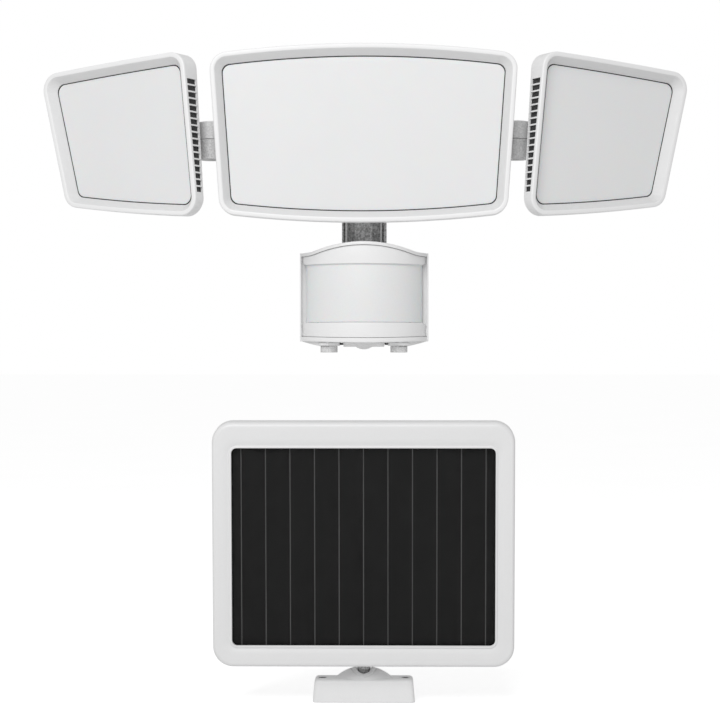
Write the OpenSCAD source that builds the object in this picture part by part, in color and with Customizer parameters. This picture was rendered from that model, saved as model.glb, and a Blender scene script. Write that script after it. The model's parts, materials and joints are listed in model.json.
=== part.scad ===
// Solar flood light in two units that are screwed up separately: a wall light with
// three adjustable heads and a motion sensor, and a solar panel on a ball-joint foot.
// Frame: +Z is up, the light faces -Y and the wall is the plane y = 0. The origin is
// the middle of the wall plate's back face. Head and panel pieces are drawn in their
// own frames, x across the face, y back into the body and z up the face.

/* [Main head] */
// Width of the face between its top corners, before rounding
main_top_w = 202; // [192:1:210]
// Width of the face between its bottom corners, before rounding
main_bottom_w = 187; // [178:1:195]
// Height of the face at its corners
main_h = 106.6; // [100:0.2:110]
// How far the curved top edge rises above its corners
main_crown_top = 5.4; // [1:0.2:8]
// How far the curved bottom edge drops below its corners
main_crown_bottom = 4.6; // [1:0.2:8]
// Height of the middle of the face above the origin
head_z = 104; // [103:0.5:110]
// Distance of the face in front of the wall
face_y = 98; // [97.5:0.5:102]

/* [Side heads] */
// Height of the face at the edge beside the main head
side_inner_h = 109.5; // [105:0.5:111]
// Height of the face at the outer edge
side_outer_h = 90.5; // [85:0.5:95]
// Width of the face along its middle
side_w = 113.5; // [108:0.5:118]
// Distance from the middle of the light to the head's inner edge
side_x = 113; // [112:0.1:116]
// How far the heads face outward at rest
side_yaw = 29.5; // [27:0.5:32]
// Number of vent slots in the inner wall
vent_count = 17; // [5:1:17]
// Distance from one vent slot to the next
vent_pitch = 4.45; // [4:0.05:4.6]

/* [Bezels] */
// Radius of the outer corners of the heads
head_r = 11.5; // [8:0.5:13]
// Depth of the bezel's side wall at mid height
bezel_depth = 12; // [11.5:0.1:12.5]
// How much deeper the side wall gets per millimetre of height
wedge = 0.06; // [0:0.001:0.06]
// Distance from the outer edge to the diffuser
diffuser_in = 7.8; // [7.6:0.1:8.4]

/* [Hinges] */
// Distance of a pan hinge from the middle of the light
pan_x = 100.9; // [100:0.1:101]
// Distance of a pan hinge in front of the wall
pan_y = 69; // [68.5:0.1:70]
// Radius of the pan hinge knuckles
knuckle_r = 9; // [8:0.1:9]
// Radius of the pins
pin_r = 2.5; // [2:0.1:2.8]
// Distance of the tilt bolt in front of the wall
tilt_y = 47; // [46:0.5:48]
// Height of the tilt bolt above the origin
tilt_z = 75; // [74:0.5:77]
// Radial clearance of a pin that turns
pin_gap = 0.08; // [0.04:0.01:0.1]

/* [Base and sensor] */
// Width of the base box
base_w = 78; // [76:1:80]
// Depth of the base box, wall plate included
base_d = 56; // [55:0.5:57]
// Height of the base box's lower face
base_lo = -31; // [-31.5:0.5:-30]
// Height of the base box's upper face
base_hi = 25; // [24.5:0.1:25]
// Radius of the lens over the motion detector
lens_r = 43.3; // [43:0.1:43.6]
// Rise of the sensor's brow over its flat ends
brow_rise = 6.8; // [4:0.2:7.2]
// Distance from the middle of the sensor to each knob
knob_x = 23.2; // [22.5:0.1:24]
// Radius of the knobs
knob_r = 5.65; // [5:0.05:6]

/* [Wall screws] */
// Distance between the wall plate's holes across
wall_sx = 60; // [56:1:62]
// Distance between the wall plate's holes up and down
wall_sz = 40; // [36:1:42]
// Radius of the wall plate's holes
wall_hole_r = 2.25; // [1.8:0.05:2.6]

/* [Solar panel] */
// Width of the panel's frame
panel_w = 197.4; // [190:0.2:205]
// Height of the panel's frame
panel_h = 161.2; // [156:0.2:163]
// Depth of the panel's frame
panel_d = 14; // [13:0.5:15]
// Width of the glass that shows
glass_w = 171.8; // [160:0.2:175]
// Height of the glass that shows
glass_h = 129.7; // [122:0.1:131]
// How far the panel leans forward at rest
panel_lean = 4; // [0:0.5:6]
// Height of the middle of the panel below the origin
panel_z = 164.3; // [164:0.1:165.5]
// Distance from one line of the cell layer to the next
cell_pitch = 15.96; // [12:0.01:20]

/* [Panel foot] */
// Width of the foot at its underside
foot_w = 67.6; // [66:0.2:72]
// Depth of the foot from front to back
foot_d = 21.5; // [21:0.5:24]
// Distance between the foot's two screw holes
foot_sx = 55; // [53:0.5:57]
// Radius of the foot's screw holes
foot_hole_r = 3.1; // [2.5:0.05:3.3]
// Radius of the ball
ball_r = 6.5; // [6:0.1:6.6]

/* [Hidden] */
$fn = 64;
eps = 0.01;

// colours
white = [0.90, 0.90, 0.90];
milky = [0.86, 0.87, 0.87];
grey = [0.62, 0.62, 0.62];
dark_grey = [0.42, 0.42, 0.43];
black = [0.12, 0.12, 0.13];
metal = [0.75, 0.76, 0.77];
green = [0.10, 0.35, 0.20];

// outlines of the heads: corners from the lower left round to the upper left,
// the crown of each edge that follows a corner, and the corner radius
main_outline = [[[-main_bottom_w / 2, -main_h / 2], [main_bottom_w / 2, -main_h / 2],
        [main_top_w / 2, main_h / 2], [-main_top_w / 2, main_h / 2]],
    [main_crown_bottom, 0.01, main_crown_top, 0.01], head_r];
side_slant = 0.107;
side_outline = [[[-side_slant * side_inner_h / 2, -side_inner_h / 2],
        [side_w - 11.5, -side_outer_h / 2 + 1.2], [side_w + 11.5, side_outer_h / 2 + 1.2],
        [side_slant * side_inner_h / 2, side_inner_h / 2]],
    [0.8, 0.01, 0.4, 0.01], head_r];

// layers of a head behind its face
diffuser_y = bezel_depth - 5.6;
flange_y = bezel_depth - 4;
board_y = bezel_depth + 4.2;
sink_y = board_y + 1.5;
cap_y = bezel_depth + 13.5;
cap_in = 20;

// hinge of a side head, in the head's own frame
hinge_u = (pan_x - side_x) * cos(side_yaw) + (face_y - pan_y) * sin(side_yaw);
hinge_t = (face_y - pan_y) * cos(side_yaw) - (pan_x - side_x) * sin(side_yaw);
barrel_t = cap_y + 7.5;
barrel_u = 20.5;
barrel_l = 22;
barrel_r = 5;
knuckle_lo = 89.5 - head_z;
knuckle_mid = 102.5 - head_z;
knuckle_hi = 113.9 - head_z;

// sensor
flange_front = base_d + 4;
lens_mid = 84 - lens_r;
band_r = lens_r + 1.5;
lip_r = lens_r + 2.7;
sensor_w = 85.9;
sensor_lo = -32.5;
sensor_hi = 27.6;
window_lo = -18.8;
window_hi = 19.8;
brow_half = 35;
brow_r = (brow_half * brow_half + brow_rise * brow_rise) / (2 * brow_rise);
knob_y = 69;
plinth_h = 2.3;

// panel and foot
glass_drop = 1.5;
frame_r = 13.5;
opening_r = 3.5;
foot_top = -254.5;
foot_bottom = -269.8;
foot_y = 68;
ball_z = -257;
dome_half = 19;
dome_h = 7.6;
dome_r = (dome_half * dome_half + dome_h * dome_h) / (2 * dome_h);
ridge_half = 9.5;
ridge_r = (ridge_half * ridge_half + dome_h * dome_h) / (2 * dome_h);
seat_r = 8.6;
lean_max = 20;

// ---------------------------------------------------------------- shapes
function unit(v) = v / norm(v);
function ang(v) = atan2(v[1], v[0]);
function turn(a, b) = (b - a + 540) % 360 - 180;

// points of an arc about mid, from angle a to angle b, in n steps, first to last
function arc(mid, r, a, b, n, first, last) =
    [for (i = [first:last]) mid + r * [cos(a + turn(a, b) * i / n), sin(a + turn(a, b) * i / n)]];

// middle of the rounding circle that lies q inside both edges of corner i
function corner_mid(c, i, q) =
    let (n = len(c), a = unit(c[(i + 1) % n] - c[i]), b = unit(c[(i + n - 1) % n] - c[i]))
    c[i] + q * (a + b) / sin(acos(a * b));

// middle and radius of the shallow arc that crowns one edge
function edge_arc(p, q, crown) =
    let (l = norm(q - p), s = unit(q - p), rho = (l * l / 4 + crown * crown) / (2 * crown))
    [(p + q) / 2 - [s[1], -s[0]] * (rho - crown), rho];

// a closed ring of points that lies d inside the outline
function ring(outline, d) =
    let (c = outline[0], n = len(c), r = max(outline[2] - d, 5.5),
        m = [for (i = [0:n - 1]) corner_mid(c, i, d + r)],
        m0 = [for (i = [0:n - 1]) corner_mid(c, i, outline[2])],
        e = [for (i = [0:n - 1]) let (j = (i + 1) % n)
            edge_arc(m[i], m[j], outline[1][i] * pow(norm(m[j] - m[i]) / norm(m0[j] - m0[i]), 2))])
    [for (i = [0:n - 1]) let (j = (i + 1) % n, h = (i + n - 1) % n)
        each concat(arc(m[i], r, ang(m[i] - e[h][0]), ang(m[i] - e[i][0]), 8, 0, 8),
            outline[1][i] < 0.1 ? [] :
                arc(e[i][0], e[i][1] + r, ang(m[i] - e[i][0]), ang(m[j] - e[i][0]), 6, 1, 5))];

// skin through a list of equal rings of points, either joined end to end or capped;
// a capped skin is listed from its back to its front
module skin(rings, looped) {
    m = len(rings);
    n = len(rings[0]);
    sides = [for (i = [0:looped ? m - 1 : m - 2], j = [0:n - 1])
        let (a = i * n + j, b = i * n + (j + 1) % n,
            c = ((i + 1) % m) * n + (j + 1) % n, d = ((i + 1) % m) * n + j)
        each [[a, c, b], [a, d, c]]];
    caps = looped ? [] : [[for (j = [0:n - 1]) j], [for (j = [n - 1:-1:0]) (m - 1) * n + j]];
    polyhedron([for (r = rings) each r], concat(sides, caps));
}

// skin over rings given as [distance in from the edge, depth, share of the wedge]
module head_skin(outline, steps, looped) {
    skin([for (s = steps) [for (p = ring(outline, s[0])) [p[0], s[1] + s[2] * wedge * p[1], p[1]]]],
        looped);
}

// a plate that follows the outline of a head
module head_plate(outline, d, y, t) {
    head_skin(outline, [[d, y + t, 0], [d, y, 0]], false);
}

module round_rect(w, h, r) {
    square([w - 2 * r, h], center = true);
    square([w, h - 2 * r], center = true);
    for (x = [-1, 1], y = [-1, 1]) translate([x * (w / 2 - r), y * (h / 2 - r)]) circle(r);
}

// a flat shape in x and z, given depth from y to y + t
module upright(y, t) {
    translate([0, y + t, 0]) rotate([90, 0, 0]) linear_extrude(t) children();
}

module x_cylinder(r, x, l) {
    translate([x, 0, 0]) rotate([0, 90, 0]) cylinder(r = r, h = l);
}

// a cylinder from y to y + l
module y_cylinder(r, y, l) {
    translate([0, y, 0]) rotate([-90, 0, 0]) cylinder(r = r, h = l);
}

// a countersunk or pan-head screw along y, its head at the back
module screw(l, head_r, shank_r) {
    y_cylinder(shank_r, -l, l);
    difference() {
        y_cylinder(head_r, 0, 1.8);
        for (a = [0, 90]) rotate([0, a, 0]) translate([-head_r * 0.6, 1, -0.35]) cube([head_r * 1.2, 1, 0.7]);
    }
}

// ---------------------------------------------------------------- places
module at_main() {
    translate([0, -face_y, head_z]) children();
}

// side 1 is right, side -1 is left
module at_side(side) {
    mirror([side < 0 ? 1 : 0, 0, 0]) translate([side_x, -face_y, head_z]) rotate([0, 0, side_yaw]) children();
}

module at_hinge(side) {
    translate([side * pan_x, -pan_y, head_z]) children();
}

module at_tilt() {
    translate([0, -tilt_y, tilt_z]) children();
}

module at_panel() {
    translate([0, -face_y, -panel_z]) rotate([panel_lean, 0, 0]) children();
}

// ---------------------------------------------------------------- heads
// the thin walls: lip, sloped funnel round the diffuser, and side wall
module bezel(outline) {
    head_skin(outline, [[0.35, 0.35, 0], [1.2, 0, 0], [2.6, 0, 0], [3.3, 0.5, 0],
        [diffuser_in - 0.4, diffuser_y - 0.2, 0], [diffuser_in - 0.4, flange_y - 0.2, 0],
        [6.2, flange_y - 0.2, 0], [3.2, 2.2, 0], [1.2, 2.2, 0],
        [1.2, bezel_depth, 1], [0, bezel_depth, 1], [0, 1.2, 0]], true);
}

module diffuser(outline) {
    head_skin(outline, [[5.7, flange_y + 1.4, 0], [5.7, flange_y, 0],
        [diffuser_in, flange_y, 0], [diffuser_in, diffuser_y, 0]], false);
}

module rear_cover(outline) {
    b = bezel_depth;
    head_skin(outline, [[cap_in, cap_y, 0], [8.4, b + 8.5, 0.2], [4, b + 5.4, 0.9],
        [1.9, b + 2.6, 1], [0.6, b + 0.05, 1], [3, b + 0.05, 1], [3.8, b + 1.9, 1],
        [5.6, b + 4.6, 0.9], [9.8, b + 7, 0.2], [cap_in + 1, cap_y - 2, 0]], false);
}

// light chips in a regular grid that narrows with the face
module chips(nx, nz, w_top, w_bottom, h, x0) {
    for (k = [0:nz - 1], i = [0:nx - 1]) {
        z = -h / 2 + h * k / (nz - 1);
        w = w_bottom + (w_top - w_bottom) * k / (nz - 1);
        translate([x0 - w / 2 + w * i / (nx - 1) - 1.4, board_y - 0.8, z - 1.4]) cube([2.8, 0.7, 2.8]);
    }
}

module heat_sink(outline, u0, u1, h) {
    head_plate(outline, 13, sink_y, 2);
    n = floor((u1 - u0) / 7);
    for (i = [0:n]) translate([u0 + (u1 - u0) * i / n - 0.6, sink_y + 1, -h / 2]) cube([1.2, 3.1, h]);
}

module main_bezel() {
    color(white) at_main() bezel(main_outline);
}

module main_diffuser() {
    color(milky) at_main() diffuser(main_outline);
}

module main_led_board() {
    color(white) at_main() head_plate(main_outline, 9.5, board_y, 1.4);
}

module main_leds() {
    color([0.95, 0.85, 0.35]) at_main() chips(10, 6, main_top_w - 42, main_bottom_w - 42, main_h - 36, 0);
}

module main_heat_sink() {
    color(metal) at_main() heat_sink(main_outline, -70, 70, main_h - 42);
}

module main_rear_cover() {
    color(white) at_main() rear_cover(main_outline);
}

// plate on the back of the main head, with the tongue that the tilt bolt goes through
module main_hinge() {
    plate_y = -face_y + cap_y + 0.15;
    color(grey) difference() {
        union() {
            translate([0, 0, 90]) upright(plate_y, 3) round_rect(46, 44, 5);
            translate([-7.8, plate_y + 1, tilt_z - 8]) cube([15.6, -tilt_y - plate_y - 1, 16]);
            at_tilt() x_cylinder(8.6, -7.8, 15.6);
        }
        at_tilt() x_cylinder(pin_r + pin_gap, -10, 20);
        for (x = [-17, 17], z = [74, 106]) translate([x, 0, z]) y_cylinder(1.7, plate_y - 1, 6);
    }
}

module main_screws() {
    plate_y = -face_y + cap_y + 3.2;
    color(metal) for (x = [-17, 17], z = [74, 106]) translate([x, plate_y, z]) screw(3, 3, 1.6);
    color(metal) for (s = [-1, 1], z = [knuckle_lo + 4, knuckle_mid - 4])
        translate([s * 69, plate_y, head_z + z]) screw(3, 2.6, 1.6);
}

// fixed half of a pan hinge: a plate on the main head's back and the lower knuckle
module bracket(side) {
    plate_y = -face_y + cap_y + 0.15;
    h = knuckle_mid - knuckle_lo;
    color(grey) difference() {
        union() {
            at_hinge(side) translate([0, 0, knuckle_lo]) cylinder(r = knuckle_r, h = h);
            translate([side * 80, plate_y, head_z + knuckle_lo])
                translate([side > 0 ? -18 : -20, 0, 0]) cube([38, 3, h]);
            translate([side * 92 - 8, plate_y, head_z + knuckle_lo + 2]) cube([16, 7, h - 4]);
        }
        at_hinge(side) translate([0, 0, knuckle_lo - 1]) cylinder(r = pin_r + pin_gap, h = h + 2);
        for (z = [knuckle_lo + 4, knuckle_mid - 4])
            translate([side * 69, 0, head_z + z]) y_cylinder(1.7, plate_y - 1, 6);
    }
}

module left_bracket() {
    bracket(-1);
}

module right_bracket() {
    bracket(1);
}

// turning half of a pan hinge: the upper knuckle and an arm to the tilt barrel
module link(side) {
    gap = 0.3;
    color([0.70, 0.70, 0.70]) difference() {
        union() {
            at_hinge(side) translate([0, 0, knuckle_mid + gap])
                cylinder(r = knuckle_r, h = knuckle_hi - knuckle_mid - gap);
            at_side(side) {
                translate([hinge_u, hinge_t - 3.5, knuckle_mid + gap]) cube([barrel_u - hinge_u, 9, 7]);
                translate([hinge_u + knuckle_r + 1.2, hinge_t - 3.5, -6])
                    cube([barrel_u + 1.5 - hinge_u - knuckle_r - 1.2, 9, knuckle_mid + 6 + gap + 7]);
                translate([0, barrel_t, 0]) x_cylinder(barrel_r, barrel_u - 1, barrel_l + 1);
            }
        }
        at_hinge(side) translate([0, 0, knuckle_mid]) cylinder(r = pin_r, h = 20);
        at_side(side) translate([0, barrel_t, 0]) x_cylinder(2 + pin_gap, barrel_u - 12, barrel_l + 14);
    }
}

module left_link() {
    link(-1);
}

module right_link() {
    link(1);
}

// pin of the pan hinge, with its domed cap
module pan_pin(side) {
    cap_r = knuckle_r - 0.3;
    cap_h = 0.9;
    dome = (cap_r * cap_r + cap_h * cap_h) / (2 * cap_h);
    color(white) at_hinge(side) {
        translate([0, 0, knuckle_lo + 0.5]) cylinder(r = pin_r, h = knuckle_hi - knuckle_lo);
        translate([0, 0, knuckle_hi]) cylinder(r = cap_r, h = 0.4);
        intersection() {
            translate([0, 0, knuckle_hi + 0.4 + cap_h - dome]) sphere(dome);
            translate([0, 0, knuckle_hi + 0.2]) cylinder(r = cap_r, h = 10);
        }
    }
}

module left_pan_pin() {
    pan_pin(-1);
}

module right_pan_pin() {
    pan_pin(1);
}

// ears on a side head's back that hold the tilt pin
module tilt_mount(side) {
    color(grey) at_side(side) difference() {
        union() {
            translate([barrel_u + 2.4, cap_y + 0.15, -9]) cube([barrel_l + 3.3, 1.8, 18]);
            translate([barrel_u + barrel_l + 0.4, cap_y + 0.15, -5]) cube([5, barrel_t - cap_y, 10]);
            translate([0, barrel_t, 0]) x_cylinder(5, barrel_u + barrel_l + 0.4, 5);
        }
        translate([0, barrel_t, 0]) x_cylinder(2, barrel_u, barrel_l + 10);
    }
}

module left_tilt_mount() {
    tilt_mount(-1);
}

module right_tilt_mount() {
    tilt_mount(1);
}

module tilt_pin(side) {
    color(metal) at_side(side) translate([0, barrel_t, 0]) {
        x_cylinder(2, barrel_u - 6, barrel_l + 11.9);
        x_cylinder(3.4, barrel_u + barrel_l + 5.5, 1.6);
    }
}

module left_tilt_pin() {
    tilt_pin(-1);
}

module right_tilt_pin() {
    tilt_pin(1);
}

// height of vent slot i
function vent_z(i) = vent_pitch * (vent_count - 1) / 2 - vent_pitch * i - 0.75;

module side_bezel(side) {
    color(white) at_side(side) difference() {
        bezel(side_outline);
        for (i = [0:vent_count - 1]) {
            z = vent_z(i);
            translate([side_slant * z - 1.5, 2.25, z - 1.7]) cube([4, 8.35 + 0.055 * z, 3.45]);
        }
    }
}

module left_bezel() {
    side_bezel(-1);
}

module right_bezel() {
    side_bezel(1);
}

// dark strip with upright bars just behind the vent slots
module vent_screen(side) {
    h = vent_pitch * vent_count;
    color(black) at_side(side) translate([0, 0, -0.75]) rotate([0, atan(side_slant), 0])
        translate([1.3, 0, 0]) {
            rotate([90, 0, 90]) linear_extrude(0.45)
                polygon([[2.4, -h / 2], [9.4, -h / 2], [14, h / 2], [2.4, h / 2]]);
            for (i = [0:3]) translate([0, 2.9 + 1.85 * i, -h / 2]) cube([0.75, 0.6, h]);
        }
}

module left_vent_screen() {
    vent_screen(-1);
}

module right_vent_screen() {
    vent_screen(1);
}

module side_diffuser(side) {
    color(milky) at_side(side) diffuser(side_outline);
}

module left_diffuser() {
    side_diffuser(-1);
}

module right_diffuser() {
    side_diffuser(1);
}

module side_led_board(side) {
    color(white) at_side(side) head_plate(side_outline, 9.5, board_y, 1.4);
}

module left_led_board() {
    side_led_board(-1);
}

module right_led_board() {
    side_led_board(1);
}

module side_leds(side) {
    color([0.95, 0.85, 0.35]) at_side(side)
        chips(5, 5, side_w - 34, side_w - 42, side_outer_h - 34, side_w / 2);
}

module left_leds() {
    side_leds(-1);
}

module right_leds() {
    side_leds(1);
}

module side_heat_sink(side) {
    color(metal) at_side(side) heat_sink(side_outline, 24, side_w - 24, side_outer_h - 44);
}

module left_heat_sink() {
    side_heat_sink(-1);
}

module right_heat_sink() {
    side_heat_sink(1);
}

module side_rear_cover(side) {
    color(white) at_side(side) rear_cover(side_outline);
}

module left_rear_cover() {
    side_rear_cover(-1);
}

module right_rear_cover() {
    side_rear_cover(1);
}

// ---------------------------------------------------------------- base
base_h = base_hi - base_lo;
base_mid = (base_hi + base_lo) / 2;
back_y = 8;
socket_r = 3.4;
neck_screw_x = 18.2;
corner_in = 5.6;

module wall_plate() {
    color(metal) difference() {
        translate([0, 0, base_mid]) upright(-2, 2) round_rect(base_w - 1, base_h - 1, 3.5);
        for (x = [-1, 1], z = [-1, 1])
            translate([x * wall_sx / 2, 0, z * wall_sz / 2]) y_cylinder(wall_hole_r, -3, 4);
    }
}

module base_housing() {
    color(white) difference() {
        translate([0, 0, base_mid]) upright(-base_d, base_d - 2.1) round_rect(base_w, base_h, 4);
        translate([0, 0, base_mid]) upright(-base_d - 1, base_d + 1 - back_y - 2)
            round_rect(base_w - 4.4, base_h - 4.4, 2);
        translate([0, 0, base_mid]) upright(-back_y, back_y) round_rect(base_w - 4.4, base_h - 4.4, 2);
        translate([0, -base_d / 2, base_lo - 1]) cylinder(r = 5.2, h = 4);
        for (x = [-1, 1]) translate([x * neck_screw_x, -47, base_hi - 3]) cylinder(r = 1.7, h = 4);
    }
}

module base_seal() {
    color(black) translate([0, 0, base_mid]) upright(-base_d + 0.6, 1.2) difference() {
        round_rect(base_w - 4.6, base_h - 4.6, 2);
        round_rect(base_w - 8, base_h - 8, 1.5);
    }
}

// four cells in two rows of two
module battery_cells() {
    color([0.25, 0.42, 0.62]) for (y = [-20.6, -39.7], z = [base_mid - 10, base_mid + 10])
        translate([0, y, z]) x_cylinder(9.2, -32.5, 65);
}

module battery_tray() {
    color(black) difference() {
        translate([-35, -49.5, base_mid - 19.5]) cube([70, 39.2, 39]);
        translate([-33, -50.5, base_mid - 23]) cube([66, 39.2, 46]);
    }
}

module controller_board() {
    color(green) {
        translate([-32, -53.6, base_mid - 22]) cube([64, 1.6, 44]);
        translate([-20, -52.1, base_mid - 15]) cube([12, 2, 9]);
        translate([6, -52.1, base_mid + 4]) cube([8, 2, 8]);
    }
}

// socket for the panel's lead, in the underside of the base
module power_inlet() {
    color(black) translate([0, -base_d / 2, base_lo]) difference() {
        union() {
            translate([0, 0, -2.4]) cylinder(r = 7, h = 2.35);
            translate([0, 0, -2.4]) cylinder(r = 5, h = 10);
        }
        translate([0, 0, -3]) cylinder(r = socket_r, h = 9);
    }
}

module base_screws() {
    color(metal) {
        for (x = [-1, 1])
            translate([x * neck_screw_x, -47, base_hi + 3.1]) rotate([90, 0, 0]) screw(7, 2.4, 1.6);
        for (x = [-1, 1], z = [base_lo + corner_in, base_hi - corner_in])
            translate([x * (base_w / 2 - corner_in), -base_d + 8, z]) screw(10, 2.5, 1.4);
    }
}

// two-ear yoke on top of the base, ribbed up its front
module neck_arm() {
    front = -base_d + 1;
    back = -tilt_y + 8;
    ear_x = 8.1;
    top = tilt_z - 11.5;
    color(dark_grey) difference() {
        union() {
            translate([0, (front + back) / 2, base_hi + 0.05]) linear_extrude(3)
                round_rect(42, back - front, 3);
            translate([-15, front + 3, base_hi]) cube([30, back - front - 3, top - base_hi]);
            for (v = [[-14.9, 1.1], [-12.6, 1.3], [10.8, 1], [13.2, 1.7]])
                translate([v[0], front, base_hi]) cube([v[1], 4, top - base_hi]);
            translate([-6.5, front + 0.6, base_hi]) cube([12.1, 4, top - base_hi]);
            for (s = [-1, 1]) at_tilt() {
                x_cylinder(9, s > 0 ? ear_x : -15, 15 - ear_x);
                translate([s > 0 ? ear_x : -15, -8, -11.6]) cube([15 - ear_x, 16, 11.6]);
            }
        }
        at_tilt() x_cylinder(pin_r, -20, 40);
        for (x = [-1, 1]) translate([x * neck_screw_x, -47, base_hi - 1]) cylinder(r = 1.7, h = 5);
    }
}

// tilt bolt and its nut
module neck_bolt() {
    color(metal) at_tilt() {
        x_cylinder(pin_r, -15, 33.5);
        translate([-18.6, 0, 0]) rotate([0, 90, 0]) cylinder(r = 4.6, h = 3.5, $fn = 6);
        difference() {
            translate([15.1, 0, 0]) rotate([0, 90, 0]) cylinder(r = 4.6, h = 3, $fn = 6);
            x_cylinder(pin_r, 15, 4);
        }
    }
}

// ---------------------------------------------------------------- sensor
// plan of the bulging front: a disc cut off at the flange and at both sides
module bulge(r, half_w, z, h) {
    translate([0, 0, z]) linear_extrude(h) intersection() {
        translate([0, -lens_mid]) circle(r, $fn = 128);
        translate([-half_w, -lens_mid - r - 1]) square([2 * half_w, r + 1 + lens_mid - base_d]);
    }
}

// front view of the brow: flat ends and an arch between them, shifted down by drop
module brow(half_w, lo, drop) {
    top = sensor_hi - drop;
    translate([-half_w, lo]) square([2 * half_w, top - lo]);
    intersection() {
        translate([0, top + brow_rise - brow_r]) circle(brow_r, $fn = 160);
        translate([-half_w, top - 1]) square([2 * half_w, brow_rise + 2]);
    }
}

// band of the sensor front with two rounded corners beside the lens
module band_face(half_w, lo, hi, round_top) {
    r = 3;
    translate([-half_w, round_top ? lo : lo + r]) square([2 * half_w, hi - lo - r]);
    translate([-half_w + r, lo]) square([2 * half_w - 2 * r, hi - lo]);
    for (s = [-1, 1]) translate([s * (half_w - r), round_top ? hi - r : lo + r]) circle(r);
}

module sensor_housing() {
    half_w = sensor_w / 2;
    front = lens_mid + lip_r + 2;
    color(white) difference() {
        union() {
            // flange against the base
            upright(-flange_front, 4) {
                translate([-half_w, sensor_lo]) square([sensor_w, sensor_hi - sensor_lo]);
                brow(half_w, window_hi, 0);
            }
            // upper band and brow
            intersection() {
                bulge(band_r, half_w - 1.4, 0, 60);
                union() {
                    upright(-front, front - base_d) brow(half_w, window_hi + 5, 1);
                    upright(-front, front - base_d) band_face(half_w - 1.4, window_hi, sensor_hi - 1, false);
                }
            }
            intersection() {
                bulge(lip_r, half_w, 0, 60);
                difference() {
                    upright(-front, front - base_d) brow(half_w, sensor_hi - 2.2, 0);
                    translate([0, -1, 0]) upright(-front - 1, front) brow(half_w + 1, 0, 2.2);
                }
            }
            // lower band and bottom lip
            intersection() {
                bulge(band_r, half_w - 1.4, -40, 60);
                upright(-front, front - base_d) band_face(half_w - 1.4, sensor_lo + 1, window_lo, true);
            }
            bulge(lip_r, half_w, sensor_lo, 2.6);
            // sloped skirts that run down to the bosses
            for (s = [-1, 1]) mirror([s < 0 ? 1 : 0, 0, 0]) intersection() {
                upright(-knob_y - 7.6, knob_y + 5.6 - base_d) polygon([[half_w - 1, sensor_lo + 0.5],
                    [half_w - 1, sensor_lo - 0.1], [half_w - 12.5, sensor_lo - 1.4],
                    [knob_x, sensor_lo - 1.4], [knob_x, sensor_lo + 0.5]]);
                bulge(band_r - 1.5, half_w, sensor_lo - 3, 10);
            }
            // bosses round the knobs and the plinth of the button
            for (s = [-1, 1]) translate([s * knob_x, -knob_y, sensor_lo - 1.5])
                cylinder(r1 = 7.1, r2 = 7.7, h = 2);
            translate([0, -knob_y, sensor_lo - plinth_h]) linear_extrude(plinth_h + 1)
                round_rect(27.2, 16, 4);
        }
        // hollow inside
        intersection() {
            bulge(lens_r - 1.7, half_w - 3.6, -31.5 + 1.6, 80);
            upright(-front, front) brow(half_w, sensor_lo + 2, 2.4);
        }
        upright(-base_d - 6, 7) translate([-half_w + 3.6, sensor_lo + 2.6])
            square([sensor_w - 7.2, sensor_hi - sensor_lo - 5]);
        // window for the lens
        translate([-half_w - 1, -front, window_lo])
            cube([sensor_w + 2, front - flange_front, window_hi - window_lo]);
        for (s = [-1, 1]) translate([s * knob_x, -knob_y, sensor_lo - 4]) cylinder(r = 3, h = 10);
        translate([0, -knob_y, sensor_lo - 4]) cylinder(r = 5.9, h = 10);
    }
}

// moulded lens: the face that shows, and rims behind the two bands
module pir_lens() {
    r = lens_r;
    color(milky) intersection() {
        translate([0, -lens_mid, 0]) rotate_extrude($fn = 128) polygon([
            [r - 3, window_lo - 2.5], [r - 2, window_lo - 2.5], [r - 2, window_lo + 0.15],
            [r, window_lo + 0.15], [r, window_hi - 0.15], [r - 2, window_hi - 0.15],
            [r - 2, window_hi + 2.5], [r - 3, window_hi + 2.5], [r - 3, window_hi - 1.4],
            [r - 1, window_hi - 1.4], [r - 1, window_lo + 1.4], [r - 3, window_lo + 1.4]]);
        translate([-38.7, -90, -40]) cube([77.4, 90 - flange_front - 0.1, 80]);
    }
}

module sensor_board() {
    color(green) translate([-31.5, -base_d - 2.4, -22]) cube([63, 1.6, 40]);
}

module pir_detector() {
    color(metal) {
        translate([0, 0, 0]) y_cylinder(4.6, -base_d - 7, 4.4);
        y_cylinder(5, -base_d - 3.2, 0.7);
    }
}

// two potentiometers over the knobs and a push switch over the button
module sensor_controls() {
    color(dark_grey) {
        for (s = [-1, 1]) translate([s * knob_x, -knob_y, 0]) {
            translate([0, 0, sensor_lo + 7.2]) cylinder(r = 4.4, h = 3.9);
            translate([-3, 3, sensor_lo + 8]) cube([6, knob_y - base_d - 5.5, 1]);
        }
        translate([-3.1, -knob_y - 3.1, sensor_lo + 6.4]) cube([6.2, 6.2, 3.4]);
        translate([-2.5, -knob_y + 3, sensor_lo + 8]) cube([5, knob_y - base_d - 5.5, 1]);
    }
}

// knob with a screwdriver slot and a stem up to its potentiometer
module knob(x) {
    color(grey) translate([x, -knob_y, 0]) {
        difference() {
            translate([0, 0, sensor_lo - 6.1]) cylinder(r = knob_r, h = 4.3);
            translate([-knob_r + 1, -0.6, sensor_lo - 7]) cube([2 * knob_r - 2, 1.2, 1.9]);
        }
        translate([0, 0, sensor_lo - 2]) cylinder(r = 2.6, h = 9);
    }
}

module time_knob() {
    knob(-knob_x);
}

module sensitivity_knob() {
    knob(knob_x);
}

// domed push button in the plinth
module mode_button() {
    h = 1.7;
    r = 5.5;
    dome = (r * r + h * h) / (2 * h);
    color(white) translate([0, -knob_y, sensor_lo - plinth_h]) {
        cylinder(r = r, h = 5.2);
        intersection() {
            translate([0, 0, dome - h]) sphere(dome);
            translate([0, 0, -h]) cylinder(r = r, h = h + 1);
        }
    }
}

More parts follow.
